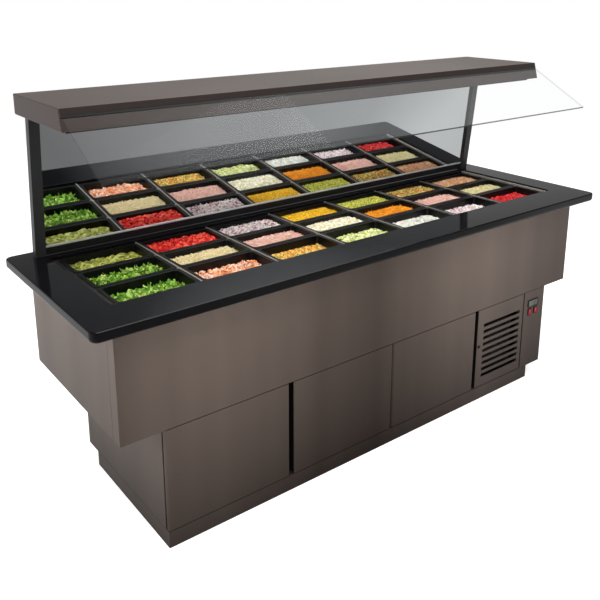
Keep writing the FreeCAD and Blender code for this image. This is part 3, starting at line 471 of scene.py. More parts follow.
# CAD pieces with their finishes and eased edges, the edge radius in mm
rows = ("front", "middle", "back")
panNames = ["pan_%s_%d" % (row, column) for row in rows for column in range(1, 8)]
dressed = {
    "bronzePowderCoat": {
        "plinth": 1.0, "casing_front": 1.2, "casing_ends": 1.0, "casing_back": 1.0, "casing_bottom": 0.8,
        "base_ends": 1.0, "base_back": 1.0, "base_floor": 0.8, "partitions": 0.8, "control_plate": 0.8,
        "door_left": 1.2, "door_middle": 1.2, "door_right": 1.2, "louvre_door": 0.5, "canopy": 1.0,
        "canopy_under": 0.8,
    },
    "charcoalPowderCoat": {"posts": 1.6},
    "blackPaintedSheet": {
        "pull_channels": 0.6, "mirror_back": 0.6, "fan_shroud": 1.0, "fan_motor": 1.0,
    },
    "zincCoatedSheet": {"door_pivots": 0.5},
    "blackenedSteel": {"louvre_lock": 0.5},
    "brushedStainless": {"pan_dividers": 0.8, "tub": 1.0},
    "shadedStainless": {"pan_rails": 1.0},
    "mouldedBlackAbs": {"switch_bezels": 0.6, "thermostat": 0.6},
    "silveredMirrorGlass": {"mirror": 0.0},
    "toughenedClearGlass": {"sneeze_glass": 0.0},
    "turnedBrass": {"drain_pipe": 0.8},
    "dippedRedVinyl": {"drain_lever": 1.2},
    "mouldedBlackPolycarbonate": {name: 1.0 for name in panNames},
}
easing = dict(weldGap=0.02, segments=2, angle=35)
for finishName, group in dressed.items():
    for nodeName, radius in group.items():
        obj = bpy.data.objects[nodeName]
        obj.data.materials.clear()
        obj.data.materials.append(finish[finishName])
        if radius:
            weld = obj.modifiers.new("joinTriangles", "WELD")
            weld.merge_threshold = easing["weldGap"] * mm
            ease = obj.modifiers.new("easedEdge", "BEVEL")
            ease.width = radius * mm
            ease.segments = easing["segments"]
            ease.limit_method = "ANGLE"
            ease.angle_limit = radians(easing["angle"])
            evenShading(obj)
print("CAD pieces dressed")

# Countertop slab
slab = dict(
    corner=28, topRound=5, underRound=16, rearRound=1.5, rearFrom=0.1, railEndGap=12, railSideGap=1,
    wellRound=2,
)


# At each point of the rounded outline a closed profile: out over the top from the well's edge, round the
# upper edge, down the face, round the lower edge, back under to the well and up its wall. The lower round
# shrinks with the outline's direction towards the rear, where the slab lies on the casing.
def slabBody():
    low, high = nodeBox("countertop")
    railLow, railHigh = nodeBox("pan_rails")
    gap = np.array([slab["railEndGap"], slab["railSideGap"]])
    wellLow, wellHigh = railLow[:2] - gap, railHigh[:2] + gap
    corner, bead = slab["corner"], slab["wellRound"]
    centres, out = oblong(high[0], high[1], corner, 9)
    rear = np.clip((out[:, 1] - slab["rearFrom"]) / (1 - slab["rearFrom"]), 0, 1)[:, None]
    under = slab["underRound"] + (slab["rearRound"] - slab["underRound"]) * rear
    top = np.full_like(under, slab["topRound"])

    def outer(inset, height):
        return np.concatenate([centres + out * (corner - inset), height + 0 * inset], -1)

    def inner(grow, height):
        flat = np.clip(centres + out * corner, wellLow - grow, wellHigh + grow)
        return np.concatenate([flat, np.full((len(flat), 1), height)], -1)

    part = bead * easeShare
    rings = [inner(0, high[2] - bead), inner(part, high[2] - part), inner(bead, high[2])]
    for turn in np.linspace(0, pi / 2, 5):
        rings.append(outer(top * (1 - sin(turn)), high[2] - top * (1 - cos(turn))))
    for turn in np.linspace(0, pi / 2, 8):
        rings.append(outer(under * (1 - cos(turn)), low[2] + under * (1 - sin(turn))))
    rings.append(inner(0, low[2]))
    return hoopRings(np.array(rings)[:, ::-1])


addPiece("counter_slab", slabBody(), "polishedBlackComposite", ["countertop"], weld=True)

flatBar = dict(corner=0.6, sideShare=0.6, insetShare=0.4)


# Flat bar along x on a sloping face, from the face's foot, its lean over its height, the distance up the
# slope to the bar's middle, and the bar's half length, width and thickness, its outer edges eased
def slopeBar(foot, lean, height, middle, halfLong, width, thick):
    up = np.array([lean, height]) / np.hypot(lean, height)
    levels = [(0, 0), (0, thick * flatBar["sideShare"]), (thick * flatBar["insetShare"], thick)]
    rings = stack(halfLong, width / 2, flatBar["corner"], levels, 3)
    along, proud = middle + rings[..., 1], rings[..., 2]
    y = foot[0] + along * up[0] - proud * up[1]
    z = foot[1] + along * up[1] + proud * up[0]
    return skinRings(np.stack([rings[..., 0], y, z], -1))


# Dark sheets along the canopy's front above and below the glass groove, and a thin black strip along the
# groove
# The sheet above the groove takes the casing's bronze painted as in deep shade: painted shade
brow = dict(lean=20, endGap=2.5)
strips = {
    "canopy_trim": dict(middle=62.2, width=23, thick=0.8, finish="shadedBronzePaint", slot="dark_paint"),
    "canopy_fascia": dict(middle=19.5, width=38, thick=0.6, finish="fasciaBronzePaint", slot="bronze_paint"),
    "glass_groove_strip": dict(middle=46.8, width=7, thick=1.2, finish="blackPaintedSheet", slot="black_plastic"),
}
low, high = nodeBox("canopy")
halfLong = high[0] - brow["endGap"]
tall = high[2] - low[2]
for name, bar in strips.items():
    shape = slopeBar(low[1:], brow["lean"], tall, bar["middle"], halfLong, bar["width"], bar["thick"])
    addPiece(name, shape, bar["finish"])

# End plates of the canopy: its sloping outline, drawn in a little, carried outward and eased
capPlate = dict(inset=1.0, thick=1.6, ease=0.6)
tuck = capPlate["inset"]
outline = np.array([
    (low[1] + tuck, low[2] + tuck), (high[1] - tuck, low[2] + tuck),
    (high[1] - tuck, high[2] - tuck), (low[1] + brow["lean"] + tuck, high[2] - tuck),
])
inward = np.sign(outline.mean(0) - outline) * capPlate["ease"]
levels = [(0, 0), (0, capPlate["thick"] - capPlate["ease"]), (1, capPlate["thick"])]
plate = [np.insert(outline + inward * drawn, 0, high[0] + out, 1) for drawn, out in levels]
right = skinRings(np.array(plate))
addPiece("canopy_end_plates", joined([right, mirrorX(right)]), "fasciaBronzePaint")

# Black rail that holds the mirror's foot, and the bright channel above it
foot = dict(lean=-56, leanHeight=542, endGap=2)
holders = {
    "mirror_rail": dict(middle=0.5, width=30, thick=2.0, finish="blackPaintedSheet", slot="dark_paint"),
    "mirror_channel": dict(middle=19.5, width=8, thick=2.6, finish="satinAluminium", slot="steel"),
}
low, high = nodeBox("mirror")
slant = foot["lean"] / foot["leanHeight"]
start = np.array([low[1] - slant * (high[2] - low[2]), low[2]])
halfLong = high[0] - foot["endGap"]
for name, bar in holders.items():
    shape = slopeBar(start, slant, 1, bar["middle"], halfLong, bar["width"], bar["thick"])
    addPiece(name, shape, bar["finish"])

# Steel stop bar on the rails at the right end of the well
stopBar = dict(width=9, top=914, ease=1.2, corner=1.5)
low, high = nodeBox("pan_rails")
half = stopBar["width"] / 2
levels = easedSide(high[2], stopBar["top"], stopBar["ease"])
rings = stack(half, (high[1] - low[1]) / 2, stopBar["corner"], levels)
rings = rings + np.array([high[0] - half, (low[1] + high[1]) / 2, 0])
addPiece("well_stop_bar", skinRings(rings), "brushedStainless")

# Lamp under the canopy: an opal diffuser behind a dark lip that keeps the glare from the customer's eyes
lamp = dict(lip=4, lipEndGap=26, lipCorner=1.0, lipEase=0.5, endGap=22, crown=2.5, corner=3.0)
low, high = nodeBox("light_bar")
half = (high - low) / 2
deep = half[1] - lamp["lip"] / 2
levels = easedSide(high[2], low[2], lamp["crown"])
glow = stack(half[0] - lamp["endGap"], deep, lamp["corner"], levels)[:, ::-1]
glow = glow + np.array([0, high[1] - deep, 0])
addPiece("lamp_diffuser", skinRings(glow), "opalAcrylic", ["light_bar"])
levels = easedSide(high[2], low[2], lamp["lipEase"], rounded=False)
lipHalf = nodeBox("canopy")[1][0] - lamp["lipEndGap"]
lip = stack(lipHalf, lamp["lip"] / 2, lamp["lipCorner"], levels)[:, ::-1]
lip = lip + np.array([0, low[1] + lamp["lip"] / 2, 0])
# The lip takes the casing's bronze painted as in deep shade: painted shade
addPiece("lamp_lip", skinRings(lip), "shadedBronzePaint")

# Black liners on the door edges at the two finger pulls: thin oblongs laid against the edge
liner = dict(thick=0.5, margin=2.0, corner=1.0, levels=[(0, 0), (0, 0.6), (0.2, 1)])
edges = {"door_left": 1, "door_middle": -1, "door_right": 1, "louvre_door": -1}
for nodeName, side in edges.items():
    low, high = nodeBox(nodeName)
    half = (high - low) / 2 - liner["margin"]
    rings = stack(half[1], half[2], liner["corner"], levelsOf(liner["levels"], liner["thick"]), 3)
    shape = skinRings(rings[..., [2, 0, 1]])  # thickness along x
    points, faces = shape if side > 0 else mirrorX(shape)
    at = np.array([high[0] if side > 0 else low[0], (low[1] + high[1]) / 2, (low[2] + high[2]) / 2])
    addPiece(nodeName + "_liner", (points + at, faces), "blackPaintedSheet", rides=nodeName)

# Thermostat face: a sunk display pane and a membrane with four keys
dial = dict(
    window=1.5, rim=3.0, margin=0.7, paneShare=0.5, midGap=0.5, corner=1.5,
    paneThick=0.6, paneLevels=[(0, 0), (0, 0.7), (0.4, 1), (1.6, 0.8)],
    sheetThick=0.5, sheetLevels=[(0, 0), (0, 0.7), (0.3, 1)],
    keyHalf=3.6, keyCorner=1.2, keyPitch=10.5, keyRise=0.6, keySeatShare=0.98,
    keyLevels=[(0, 0), (0.2, 0.6), (0.9, 1), (2.2, 0.8)],
)
low, high = nodeBox("thermostat")
border = dial["rim"] + dial["margin"]
wide, tall = (high[0] - low[0]) / 2 - border, (high[2] - low[2]) / 2 - border
middleX, middleZ = (low[0] + high[0]) / 2, (low[2] + high[2]) / 2
floorY = low[1] + dial["window"]
aside = wide * dial["paneShare"]
paneHalf = aside - dial["midGap"]
pane = stack(paneHalf, tall, dial["corner"], levelsOf(dial["paneLevels"], dial["paneThick"]))
pane = faceFront(pane, middleX - aside, floorY, middleZ)
addPiece("display_pane", skinRings(pane), "unlitDisplay")
sheet = stack(paneHalf, tall, dial["corner"], levelsOf(dial["sheetLevels"], dial["sheetThick"]))
keysX = middleX + aside
bodies = [skinRings(faceFront(sheet, keysX, floorY, middleZ))]
key = stack(dial["keyHalf"], dial["keyHalf"], dial["keyCorner"], levelsOf(dial["keyLevels"], dial["keyRise"]))
keyY = floorY - dial["sheetThick"] * dial["keySeatShare"]
for column in (-0.5, 0.5):
    for row in (-0.5, 0.5):
        keyX, keyZ = keysX + column * dial["keyPitch"], middleZ + row * dial["keyPitch"]
        bodies.append(skinRings(faceFront(key, keyX, keyY, keyZ)))
addPiece("display_keys", joined(bodies), "membraneKeypad")

# Black strip along the joint between the control plate and the casing above it: painted shade of a shadow gap
seam = dict(tall=2.4, proud=0.3, endGap=1.0, corner=0.3)
low, high = nodeBox("control_plate")
half = (high - low) / 2
rings = stack(half[0] - seam["endGap"], seam["tall"] / 2, seam["corner"], [(0, 0), (0, seam["proud"])], 2)
rings = faceFront(rings, (low[0] + high[0]) / 2, low[1], high[2] - seam["tall"] / 2)
addPiece("control_joint_shade", skinRings(rings), "blackPaintedSheet")

# Rocker caps: the oblong sides are carried to the front, eased in, and the face is dished along its height
rocker = dict(corner=1.6, ease=1.3, dish=2.2, dishCorner=9.9, dishInsets=(2.4, 4.2, 6.4, 8.6), steps=9)
for nodeName in ("rocker_left", "rocker_right"):
    low, high = nodeBox(nodeName)
    half = (high - low) / 2
    deep = high[1] - low[1]
    ease = rocker["ease"]
    sides = easedSide(0, deep, ease)
    face = [(inset, deep) for inset in rocker["dishInsets"]]
    square = stack(half[0], half[2], rocker["corner"], sides, rocker["steps"])
    dished = stack(half[0], half[2], rocker["dishCorner"], face, rocker["steps"])
    dished[..., 2] -= rocker["dish"] * np.clip(1 - (dished[..., 1] / (half[2] - ease)) ** 2, 0, 1)
    points, faces = skinRings(np.concatenate([square, dished]), None, (0, 0, deep - rocker["dish"]))
    cap = faceFront(points, (low[0] + high[0]) / 2, high[1], (low[2] + high[2]) / 2), faces
    addPiece(nodeName + "_cap", cap, "mouldedRedPolycarbonate", [nodeName], rides=nodeName)
print("slab, trim and controls made")

# Condenser: thin fins across the block, two end plates, and one tube that runs to and fro through them
coil = dict(
    finPitch=4.0, finThick=0.4, finInset=20, finCorner=1.0, plate=1.5, plateGap=3, rowsOfTube=10, tube=4.2,
    bendShare=0.9, slack=0.1,
)
low, high = nodeBox("condenser")
middle = (low + high) / 2
half = (high - low) / 2
reach = half[0] - coil["finInset"]
endX = reach + coil["plateGap"]
places = np.arange(-reach, reach + coil["slack"], coil["finPitch"])
fins = []
for x, thick in [(x, coil["finThick"]) for x in places] + [(-endX, coil["plate"]), (endX, coil["plate"])]:
    plate = stack(half[1], half[2], coil["finCorner"], [(0, -thick / 2), (0, thick / 2)], 2)
    turned = np.stack([plate[..., 2] + x, plate[..., 0], plate[..., 1]], -1)
    fins.append(skinRings(turned + middle))
addPiece("condenser_fins", joined(fins), "coatedShadedFinStock", ["condenser"], crease=30)
pitch = 2 * half[2] / coil["rowsOfTube"]
bend = np.linspace(-pi / 2, pi / 2, 9)[1:-1]
path = []
for row in range(coil["rowsOfTube"]):
    side = 1 if row % 2 == 0 else -1
    z = low[2] + pitch * (row + 0.5)
    run = np.linspace(-side * endX, side * endX, 9)
    path.append(np.stack([run, 0 * run, z + 0 * run], -1))
    if row < coil["rowsOfTube"] - 1:  # half a turn up to the next run
        turnX = side * (endX + pitch / 2 * np.cos(bend) * coil["bendShare"])
        path.append(np.stack([turnX, 0 * bend, z + pitch / 2 * (1 + np.sin(bend))], -1))
path = np.concatenate(path) + np.array([middle[0], middle[1], 0])
serpentine = skinRings(tubeRings(path, coil["tube"], np.array([0.0, 1.0, 0.0])))
addPiece("condenser_tube", serpentine, "drawnCopper", crease=60)

# Fan: five blades whose section, a thin lens, is turned steeper and widened from hub to tip, on a bored hub
fan = dict(
    blades=5, hub=24, hubHalf=11.0, bore=4.05, root=3, tipGap=1.5, chord=(40, 62), steep=(42, 24), thick=2.2,
    camber=5.0, sweep=0.35, halfDeep=16.5, backEase=2, noseEase=4, noseDrop=0.6, noseFlat=9, around=14,
)
low, high = nodeBox("condenser_fan")
centre = (low + high) / 2
tip = (high[0] - low[0]) / 2 - fan["tipGap"]
hub, bore, halfHub = fan["hub"], fan["bore"], fan["hubHalf"]
r = np.linspace(hub - fan["root"], tip, 9)[:, None]
share = (r - r[0]) / (r[-1] - r[0])
loop = np.arange(fan["around"]) / fan["around"] * 2 * pi
across = np.cos(loop)[None, :] / 2
lens = np.sin(loop)[None, :] / 2
chord = fan["chord"][0] + (fan["chord"][1] - fan["chord"][0]) * share
steep = np.radians(fan["steep"][0] + (fan["steep"][1] - fan["steep"][0]) * share)
bow = fan["camber"] * (1 - 4 * across**2)
thick = fan["thick"] * lens
aroundHub = chord * across * np.cos(steep) - (bow + thick) * np.sin(steep)
along = chord * across * np.sin(steep) + (bow + thick) * np.cos(steep)
along = np.clip(along, -fan["halfDeep"], fan["halfDeep"])
turn = aroundHub / r + fan["sweep"] * share
blade = np.stack([r * np.cos(turn), along, r * np.sin(turn)], -1)
bodies = []
for number in range(fan["blades"]):
    points, faces = skinRings(blade)
    spin = turns(np.zeros(1), np.full(1, number * 2 * pi / fan["blades"]), np.zeros(1))[0]
    bodies.append((points @ spin.T, faces))
back, nose = fan["backEase"], fan["noseEase"]
hubProfile = [
    (bore, -halfHub), (hub - back, -halfHub), (hub, back - halfHub), (hub, halfHub - nose),
    (hub - nose, halfHub - fan["noseDrop"]), (hub - fan["noseFlat"], halfHub), (bore, halfHub),
]
points, faces = hoopRings(lathe(hubProfile))
bodies.append((np.stack([points[:, 0], -points[:, 2], points[:, 1]], -1), faces))
points, faces = joined(bodies)
rotor = (points + centre, faces)
addPiece("fan_rotor", rotor, "mouldedBlackAbs", ["condenser_fan"], rides="condenser_fan")

# Compressor: a drawn can with a welded seam and a domed lid, its foot plate, a terminal box and two stubs
pump = dict(
    foot=8, footCorner=16, footEase=1, radius=79.0, heel=[(-10, 0), (-3, 4), (0, 14)], seamShare=0.62,
    seam=[(0, -4), (3, -2), (3, 2), (0, 4)], dome=45, boxHalf=(24, 30), boxCorner=5, boxRise=60,
    boxLevels=[(0, 60), (0, 97), (2, 100), (4, 100)],
    stub=5.0, stubTall=46, stubsX=(-30, 34), stubLean=30, stubBack=20, stubSink=22,
)
low, high = nodeBox("compressor")
middle = (low + high) / 2
canLow = low[2] + pump["foot"]
radius = pump["radius"]
seamAt = canLow + (high[2] - canLow) * pump["seamShare"]
dome = np.linspace(0, pi / 2, 9)[:-1]
profile = [(radius + out, canLow + up) for out, up in pump["heel"]]
profile += [(radius + out, seamAt + up) for out, up in pump["seam"]]
domeLow = high[2] - pump["dome"]
profile += [(radius * cos(t), domeLow + pump["dome"] * sin(t)) for t in dome]
can = skinRings(lathe(profile, 48), (0, 0, canLow), (0, 0, high[2]))
halfPlate = (high[0] - low[0]) / 2
levels = easedSide(low[2], canLow, pump["footEase"], rounded=False)
plate = skinRings(stack(halfPlate, halfPlate, pump["footCorner"], levels))
cover = stack(*pump["boxHalf"], pump["boxCorner"], pump["boxLevels"])
cover = faceFront(cover, 0, 0, canLow + pump["boxRise"])
points, faces = joined([can, plate, skinRings(cover)])
onFloor = np.array([middle[0], middle[1], 0])
addPiece("compressor_can", (points + onFloor, faces), "blackPaintedSheet", ["compressor"])
rise = np.linspace(0, 1, 9)
upZ = high[2] - pump["stubSink"] + pump["stubTall"] * rise
stubs = []
for x in pump["stubsX"]:
    leanX = x + pump["stubLean"] * rise**3 * np.sign(x)
    bent = np.stack([leanX, pump["stubBack"] + 0 * rise, upZ], -1)
    stubs.append(skinRings(tubeRings(bent, pump["stub"], np.array([0.0, 1.0, 0.0]))))
points, faces = joined(stubs)
addPiece("compressor_pipes", (points + onFloor, faces), "drawnCopper", crease=60)
print("machine bay made")

# Food: the inside of a pan in mm, its walls' draft in degrees, and the room left between food and wall
well = dict(halfLong=146.0, halfDeep=72.5, corner=14.0, draft=4.0, deep=99.0, spare=1.2)


# Ellipsoid: half-lengths along x, y, z, latitude rings between two poles
def grainBall(a, b, c, around=7, bands=4):
    lat = (np.arange(1, bands) / bands * pi)[:, None]
    lon = (np.arange(around) / around * 2 * pi)[None, :]
    flat = np.sin(lat)
    x, y = a * flat * np.cos(lon), b * flat * np.sin(lon)
    return skinRings(np.stack([x, y, -c * np.cos(lat) + 0 * lon], -1))


# Soft cube: square rings with clipped corners, narrower at the two ends
def grainCube(a, b, c, clip=0.82):
    half = np.array([(1, clip), (clip, 1), (-clip, 1), (-1, clip)])
    corner = np.concatenate([half, -half])
    scale = np.array([clip, 1, 1, clip])[:, None, None]
    height = np.array([-1, -clip, clip, 1])[:, None, None] * c
    flat = corner[None] * np.array([a, b]) * scale
    return skinRings(np.concatenate([flat, np.broadcast_to(height, flat.shape[:2] + (1,))], -1))


# Slice: a short drum whose rim is wavy, with eased edges
def grainSlice(radius, thick, waves=0, ripple=0.0, around=14):
    lon = (np.arange(around) / around * 2 * pi)[None, :]
    reach = radius * (1 + ripple * np.cos(waves * lon)) * np.array([0.9, 1.0, 1.0, 0.9])[:, None]
    height = np.array([-0.5, -0.3, 0.3, 0.5])[:, None] * thick
    return skinRings(np.stack([reach * np.cos(lon), reach * np.sin(lon), height + 0 * lon], -1))


# Strip: an oblong section carried along an arc that bends by the given angle
def grainStrip(length, wide, thick, bend, twist=0.0, stations=6):
    t = (np.arange(stations) / (stations - 1) - 0.5)[:, None]
    radius = length / bend
    across = np.array([1, -1, -1, 1])[None, :] * wide / 2
    up = np.array([1, 1, -1, -1])[None, :] * thick / 2
    side = across * np.cos(twist * t) - up * np.sin(twist * t)
    rise = across * np.sin(twist * t) + up * np.cos(twist * t)
    x = (radius + rise) * np.sin(bend * t) + 0 * side
    z = (radius + rise) * np.cos(bend * t) - radius
    return skinRings(np.stack([x, side, z], -1)[:, ::-1])


# Shrimp curl: a round section carried round most of a circle, fat at the head, thin at the tail
def grainCurl(radius, fat, sweep=4.0, stations=9, around=6):
    t = np.linspace(0, 1, stations)[:, None]
    lon = (np.arange(around) / around * 2 * pi)[None, :]
    girth = fat * (0.35 + 0.65 * np.sin(pi * (0.12 + 0.66 * (1 - t))))
    reach = radius + girth * np.cos(lon)
    x, y = reach * np.cos(sweep * t), reach * np.sin(sweep * t)
    return skinRings(np.stack([x, y, girth * np.sin(lon)], -1))


# Leaf: a thin lens whose half-width swells and narrows along its length, with a ruffled rim and a curl
def grainLeaf(length, wide, curl, ruffle, phase, stations=9, across=5):
    u = np.linspace(0.03, 0.97, stations)[:, None]
    v = np.concatenate([np.linspace(-1, 1, across), np.linspace(1, -1, across)])[None, :]
    side = np.concatenate([np.ones(across), -np.ones(across)])[None, :]
    half = wide / 2 * np.sin(pi * u**0.75) ** 0.8
    lobes = 1 + 0.22 * np.cos(9 * pi * u + phase)
    x = length * (u - 0.5) + 0 * v
    z = curl * length * ((u - 0.45) ** 2 * 1.6 + 0.25 * v**2 * half / wide)
    z = z + ruffle * np.sin(7 * pi * u + phase + 2 * v) * v**2 + side * 0.4 * (1 - 0.8 * v**2)
    return skinRings(np.stack([x, half * lobes * v, z], -1)[:, ::-1])


# Grains in mm; gap between neighbours, tilt, layers, surface, and the heap's edge and rise against the rim
kinds = {
    "pickleSlice": dict(
        grains=[grainSlice(13, 4.0, 7, 0.03), grainSlice(11, 4.5, 7, 0.03), grainSlice(15, 3.6, 7, 0.03)],
        gap=11.5, tilt=0.55, layers=2, skin="cutFlesh", edge=-24, rise=9,
    ),
    "curlyLeaf": dict(
        grains=[
            grainLeaf(44, 20, 0.4, 3.0, 0.0), grainLeaf(38, 16, 0.7, 3.6, 1.7),
            grainLeaf(32, 20, 0.3, 3.0, 3.1), grainLeaf(48, 12, 0.5, 4.0, 4.4),
        ],
        gap=13, tilt=0.6, layers=3, skin="freshLeaf", edge=-27, rise=8,
    ),
    "tomatoPiece": dict(
        grains=[grainBall(10, 9, 8), grainBall(11.5, 8, 7.5), grainCube(8, 7, 6, 0.72)],
        gap=14, tilt=1.2, layers=2, skin="wetSkin", edge=-24, rise=9,
    ),
    "fineShred": dict(
        grains=[
            grainStrip(22, 2.6, 2.0, 1.2), grainStrip(17, 2.4, 2.0, 0.6, 0.8),
            grainStrip(27, 2.6, 2.2, 1.7, 0.5),
        ],
        gap=8.5, tilt=0.5, layers=2, skin="cookedGrain", edge=-23, rise=8,
    ),
    "shrimpCurl": dict(
        grains=[grainCurl(7.5, 4.0), grainCurl(6.5, 3.6, 3.4), grainCurl(8.5, 4.2, 4.4)],
        gap=13, tilt=1.1, layers=2, skin="cutFlesh", edge=-24, rise=9,
    ),
    "softCube": dict(
        grains=[grainCube(5.6, 5.2, 4.8), grainCube(4.8, 5.6, 5.2), grainCube(6.4, 4.6, 5.0)],
        gap=9.5, tilt=1.5, layers=2, skin="cutFlesh", edge=-24, rise=8,
    ),
    "largeCube": dict(
        grains=[grainCube(7.6, 7.0, 6.6, 0.86), grainCube(6.6, 7.6, 7.0, 0.86)],
        gap=13, tilt=1.5, layers=2, skin="cutFlesh", edge=-25, rise=9,
    ),
    "mixedDice": dict(
        grains=[grainCube(3.8, 3.6, 3.4), grainBall(4.2, 4.0, 4.0), grainStrip(14, 3.0, 2.6, 0.9)],
        gap=7.6, tilt=1.5, layers=2, skin="cookedGrain", edge=-24, rise=8,
    ),
    "cornGrain": dict(
        grains=[grainBall(4.6, 3.8, 3.2, 6), grainBall(4.2, 4.0, 3.4, 6)],
        gap=6.6, tilt=1.2, layers=2, skin="wetSkin", edge=-24, rise=7,
    ),
    "peaGrain": dict(
        grains=[grainBall(4.0, 3.9, 3.8, 6), grainBall(4.8, 3.4, 3.2, 6)],
        gap=6.6, tilt=1.2, layers=2, skin="wetSkin", edge=-24, rise=7,
    ),
    "cucumberSlice": dict(
        grains=[grainSlice(10, 2.6), grainSlice(11.5, 2.8), grainSlice(8.5, 2.4)],
        gap=9.5, tilt=0.9, layers=2, skin="cutFlesh", edge=-24, rise=9,
    ),
    "onionChip": dict(
        grains=[grainStrip(15, 6.5, 2.2, 1.0), grainCube(5.0, 4.0, 3.0), grainStrip(20, 5.0, 2.0, 1.5)],
        gap=9.5, tilt=1.0, layers=2, skin="cutFlesh", edge=-23, rise=8,
    ),
}
rowLevel = dict(front=-13, middle=0, back=5)  # mm that a row's food lies above or below its kind's level
lowered = dict(pan_back_1=-12, pan_middle_1=-10, pan_front_1=-4)  # pans that are emptier still
servings = {  # what each pan holds, and its hues
    "pan_back_1": ("pickleSlice", "989E3A AEB24E 767E2A C6CA74"),
    "pan_back_2": ("tomatoPiece", "D0241C E23C2C B81A16 EC5A42"),
    "pan_back_3": ("onionChip", "EEE6E2 E2D2D2 F6F2EE 9A7482 DCC2C4"),
    "pan_back_4": ("cornGrain", "F6BE14 FCCE24 E8AC0C FEDA48"),
    "pan_back_5": ("peaGrain", "D2D44A DCDC60 B8BA3C E6E684 9CA030"),
    "pan_back_6": ("mixedDice", "E0982C 9AA038 C4602A ECCA6A 7E8A30 F0DEA0"),
    "pan_back_7": ("mixedDice", "EAB48C F4CCA6 D8966C C8A060 F0BC9C"),
    "pan_middle_1": ("curlyLeaf", "72A62A 98C244 5A8E20 B6D468"),
    "pan_middle_2": ("fineShred", "F0E0B0 F8ECC2 E6D29C"),
    "pan_middle_3": ("fineShred", "F6CCBC FAD8CA ECBAAA"),
    "pan_middle_4": ("softCube", "F4F0DA FCF8E8 E6E0C0 D8D0A4"),
    "pan_middle_5": ("fineShred", "FAA414 FFB42A F0940C"),
    "pan_middle_6": ("fineShred", "F8CCBE FCD8CC F0BCAE"),
    "pan_middle_7": ("fineShred", "F2E8B6 F8F0C6 E8DCA2"),
    "pan_front_1": ("curlyLeaf", "6CA228 90BE40 548A1E B0D064"),
    "pan_front_2": ("shrimpCurl", "F0A676 F6BC96 E4905E F8DAC8"),
    "pan_front_3": ("mixedDice", "EEA432 F4C660 98A638 DE7A30 F6E2A0 7A8630"),
    "pan_front_4": ("cucumberSlice", "DCE2A0 E8ECBA C4CC80 A8B462"),
    "pan_front_5": ("largeCube", "DADAD2 E2E2DA CECEC4 C2C2B6"),
    "pan_front_6": ("onionChip", "F2E8E6 E6D0D2 F8F4F2 C49EAC"),
    "pan_front_7": ("tomatoPiece", "C41C20 D42C2C AC1418"),
}

# How the grains of a heap are strewn and tinted, and how its bed lies under them, tinted darker as painted
# shade
heap = dict(
    swell=2.6, lump=1.6, sideShare=0.75, sideGap=2, jitterShare=0.42, layerDrop=0.55, layerShare=0.38,
    layerKeep=(1.0, 0.8, 0.55), tiltSpread=1.6, sizes=(0.82, 1.12), shades=(0.85, 1.08), bedShade=0.6,
    bedSink=3, wallSink=2, bedShares=(0.97, 0.9, 0.78, 0.62, 0.45, 0.28, 0.12), seed=700,
)


# Height of the heap against the rim: an edge level, a rise that falls off towards the walls, and low lumps
def heapHeight(x, y, kind, phase):
    u, v = x / well["halfLong"], y / well["halfDeep"]
    power = heap["swell"]
    swell = np.clip(1 - np.abs(u) ** power, 0, 1) * np.clip(1 - np.abs(v) ** power, 0, 1)
    lumps = np.sin(u * 7 + phase[0]) * np.cos(v * 4 + phase[1]) + 0.6 * np.sin(u * 13 + v * 6 + phase[2])
    return kind["edge"] + kind["rise"] * swell + heap["lump"] * lumps * swell


# Bed under the grains: the pan's rounded outline carried up the drafted wall, then in over the heap
def heapBed(kind, phase):
    taper = tan(radians(well["draft"]))
    walls = []
    for level in (-well["deep"], kind["edge"] - heap["wallSink"]):
        walls.append((well["spare"] - level * taper, level))
    rings = list(stack(well["halfLong"], well["halfDeep"], well["corner"], walls, 6))
    rim = rings[-1]
    for share in heap["bedShares"]:
        x, y = rim[:, 0] * share, rim[:, 1] * share
        rings.append(np.stack([x, y, heapHeight(x, y, kind, phase) - heap["bedSink"]], -1))
    return skinRings(np.array(rings))


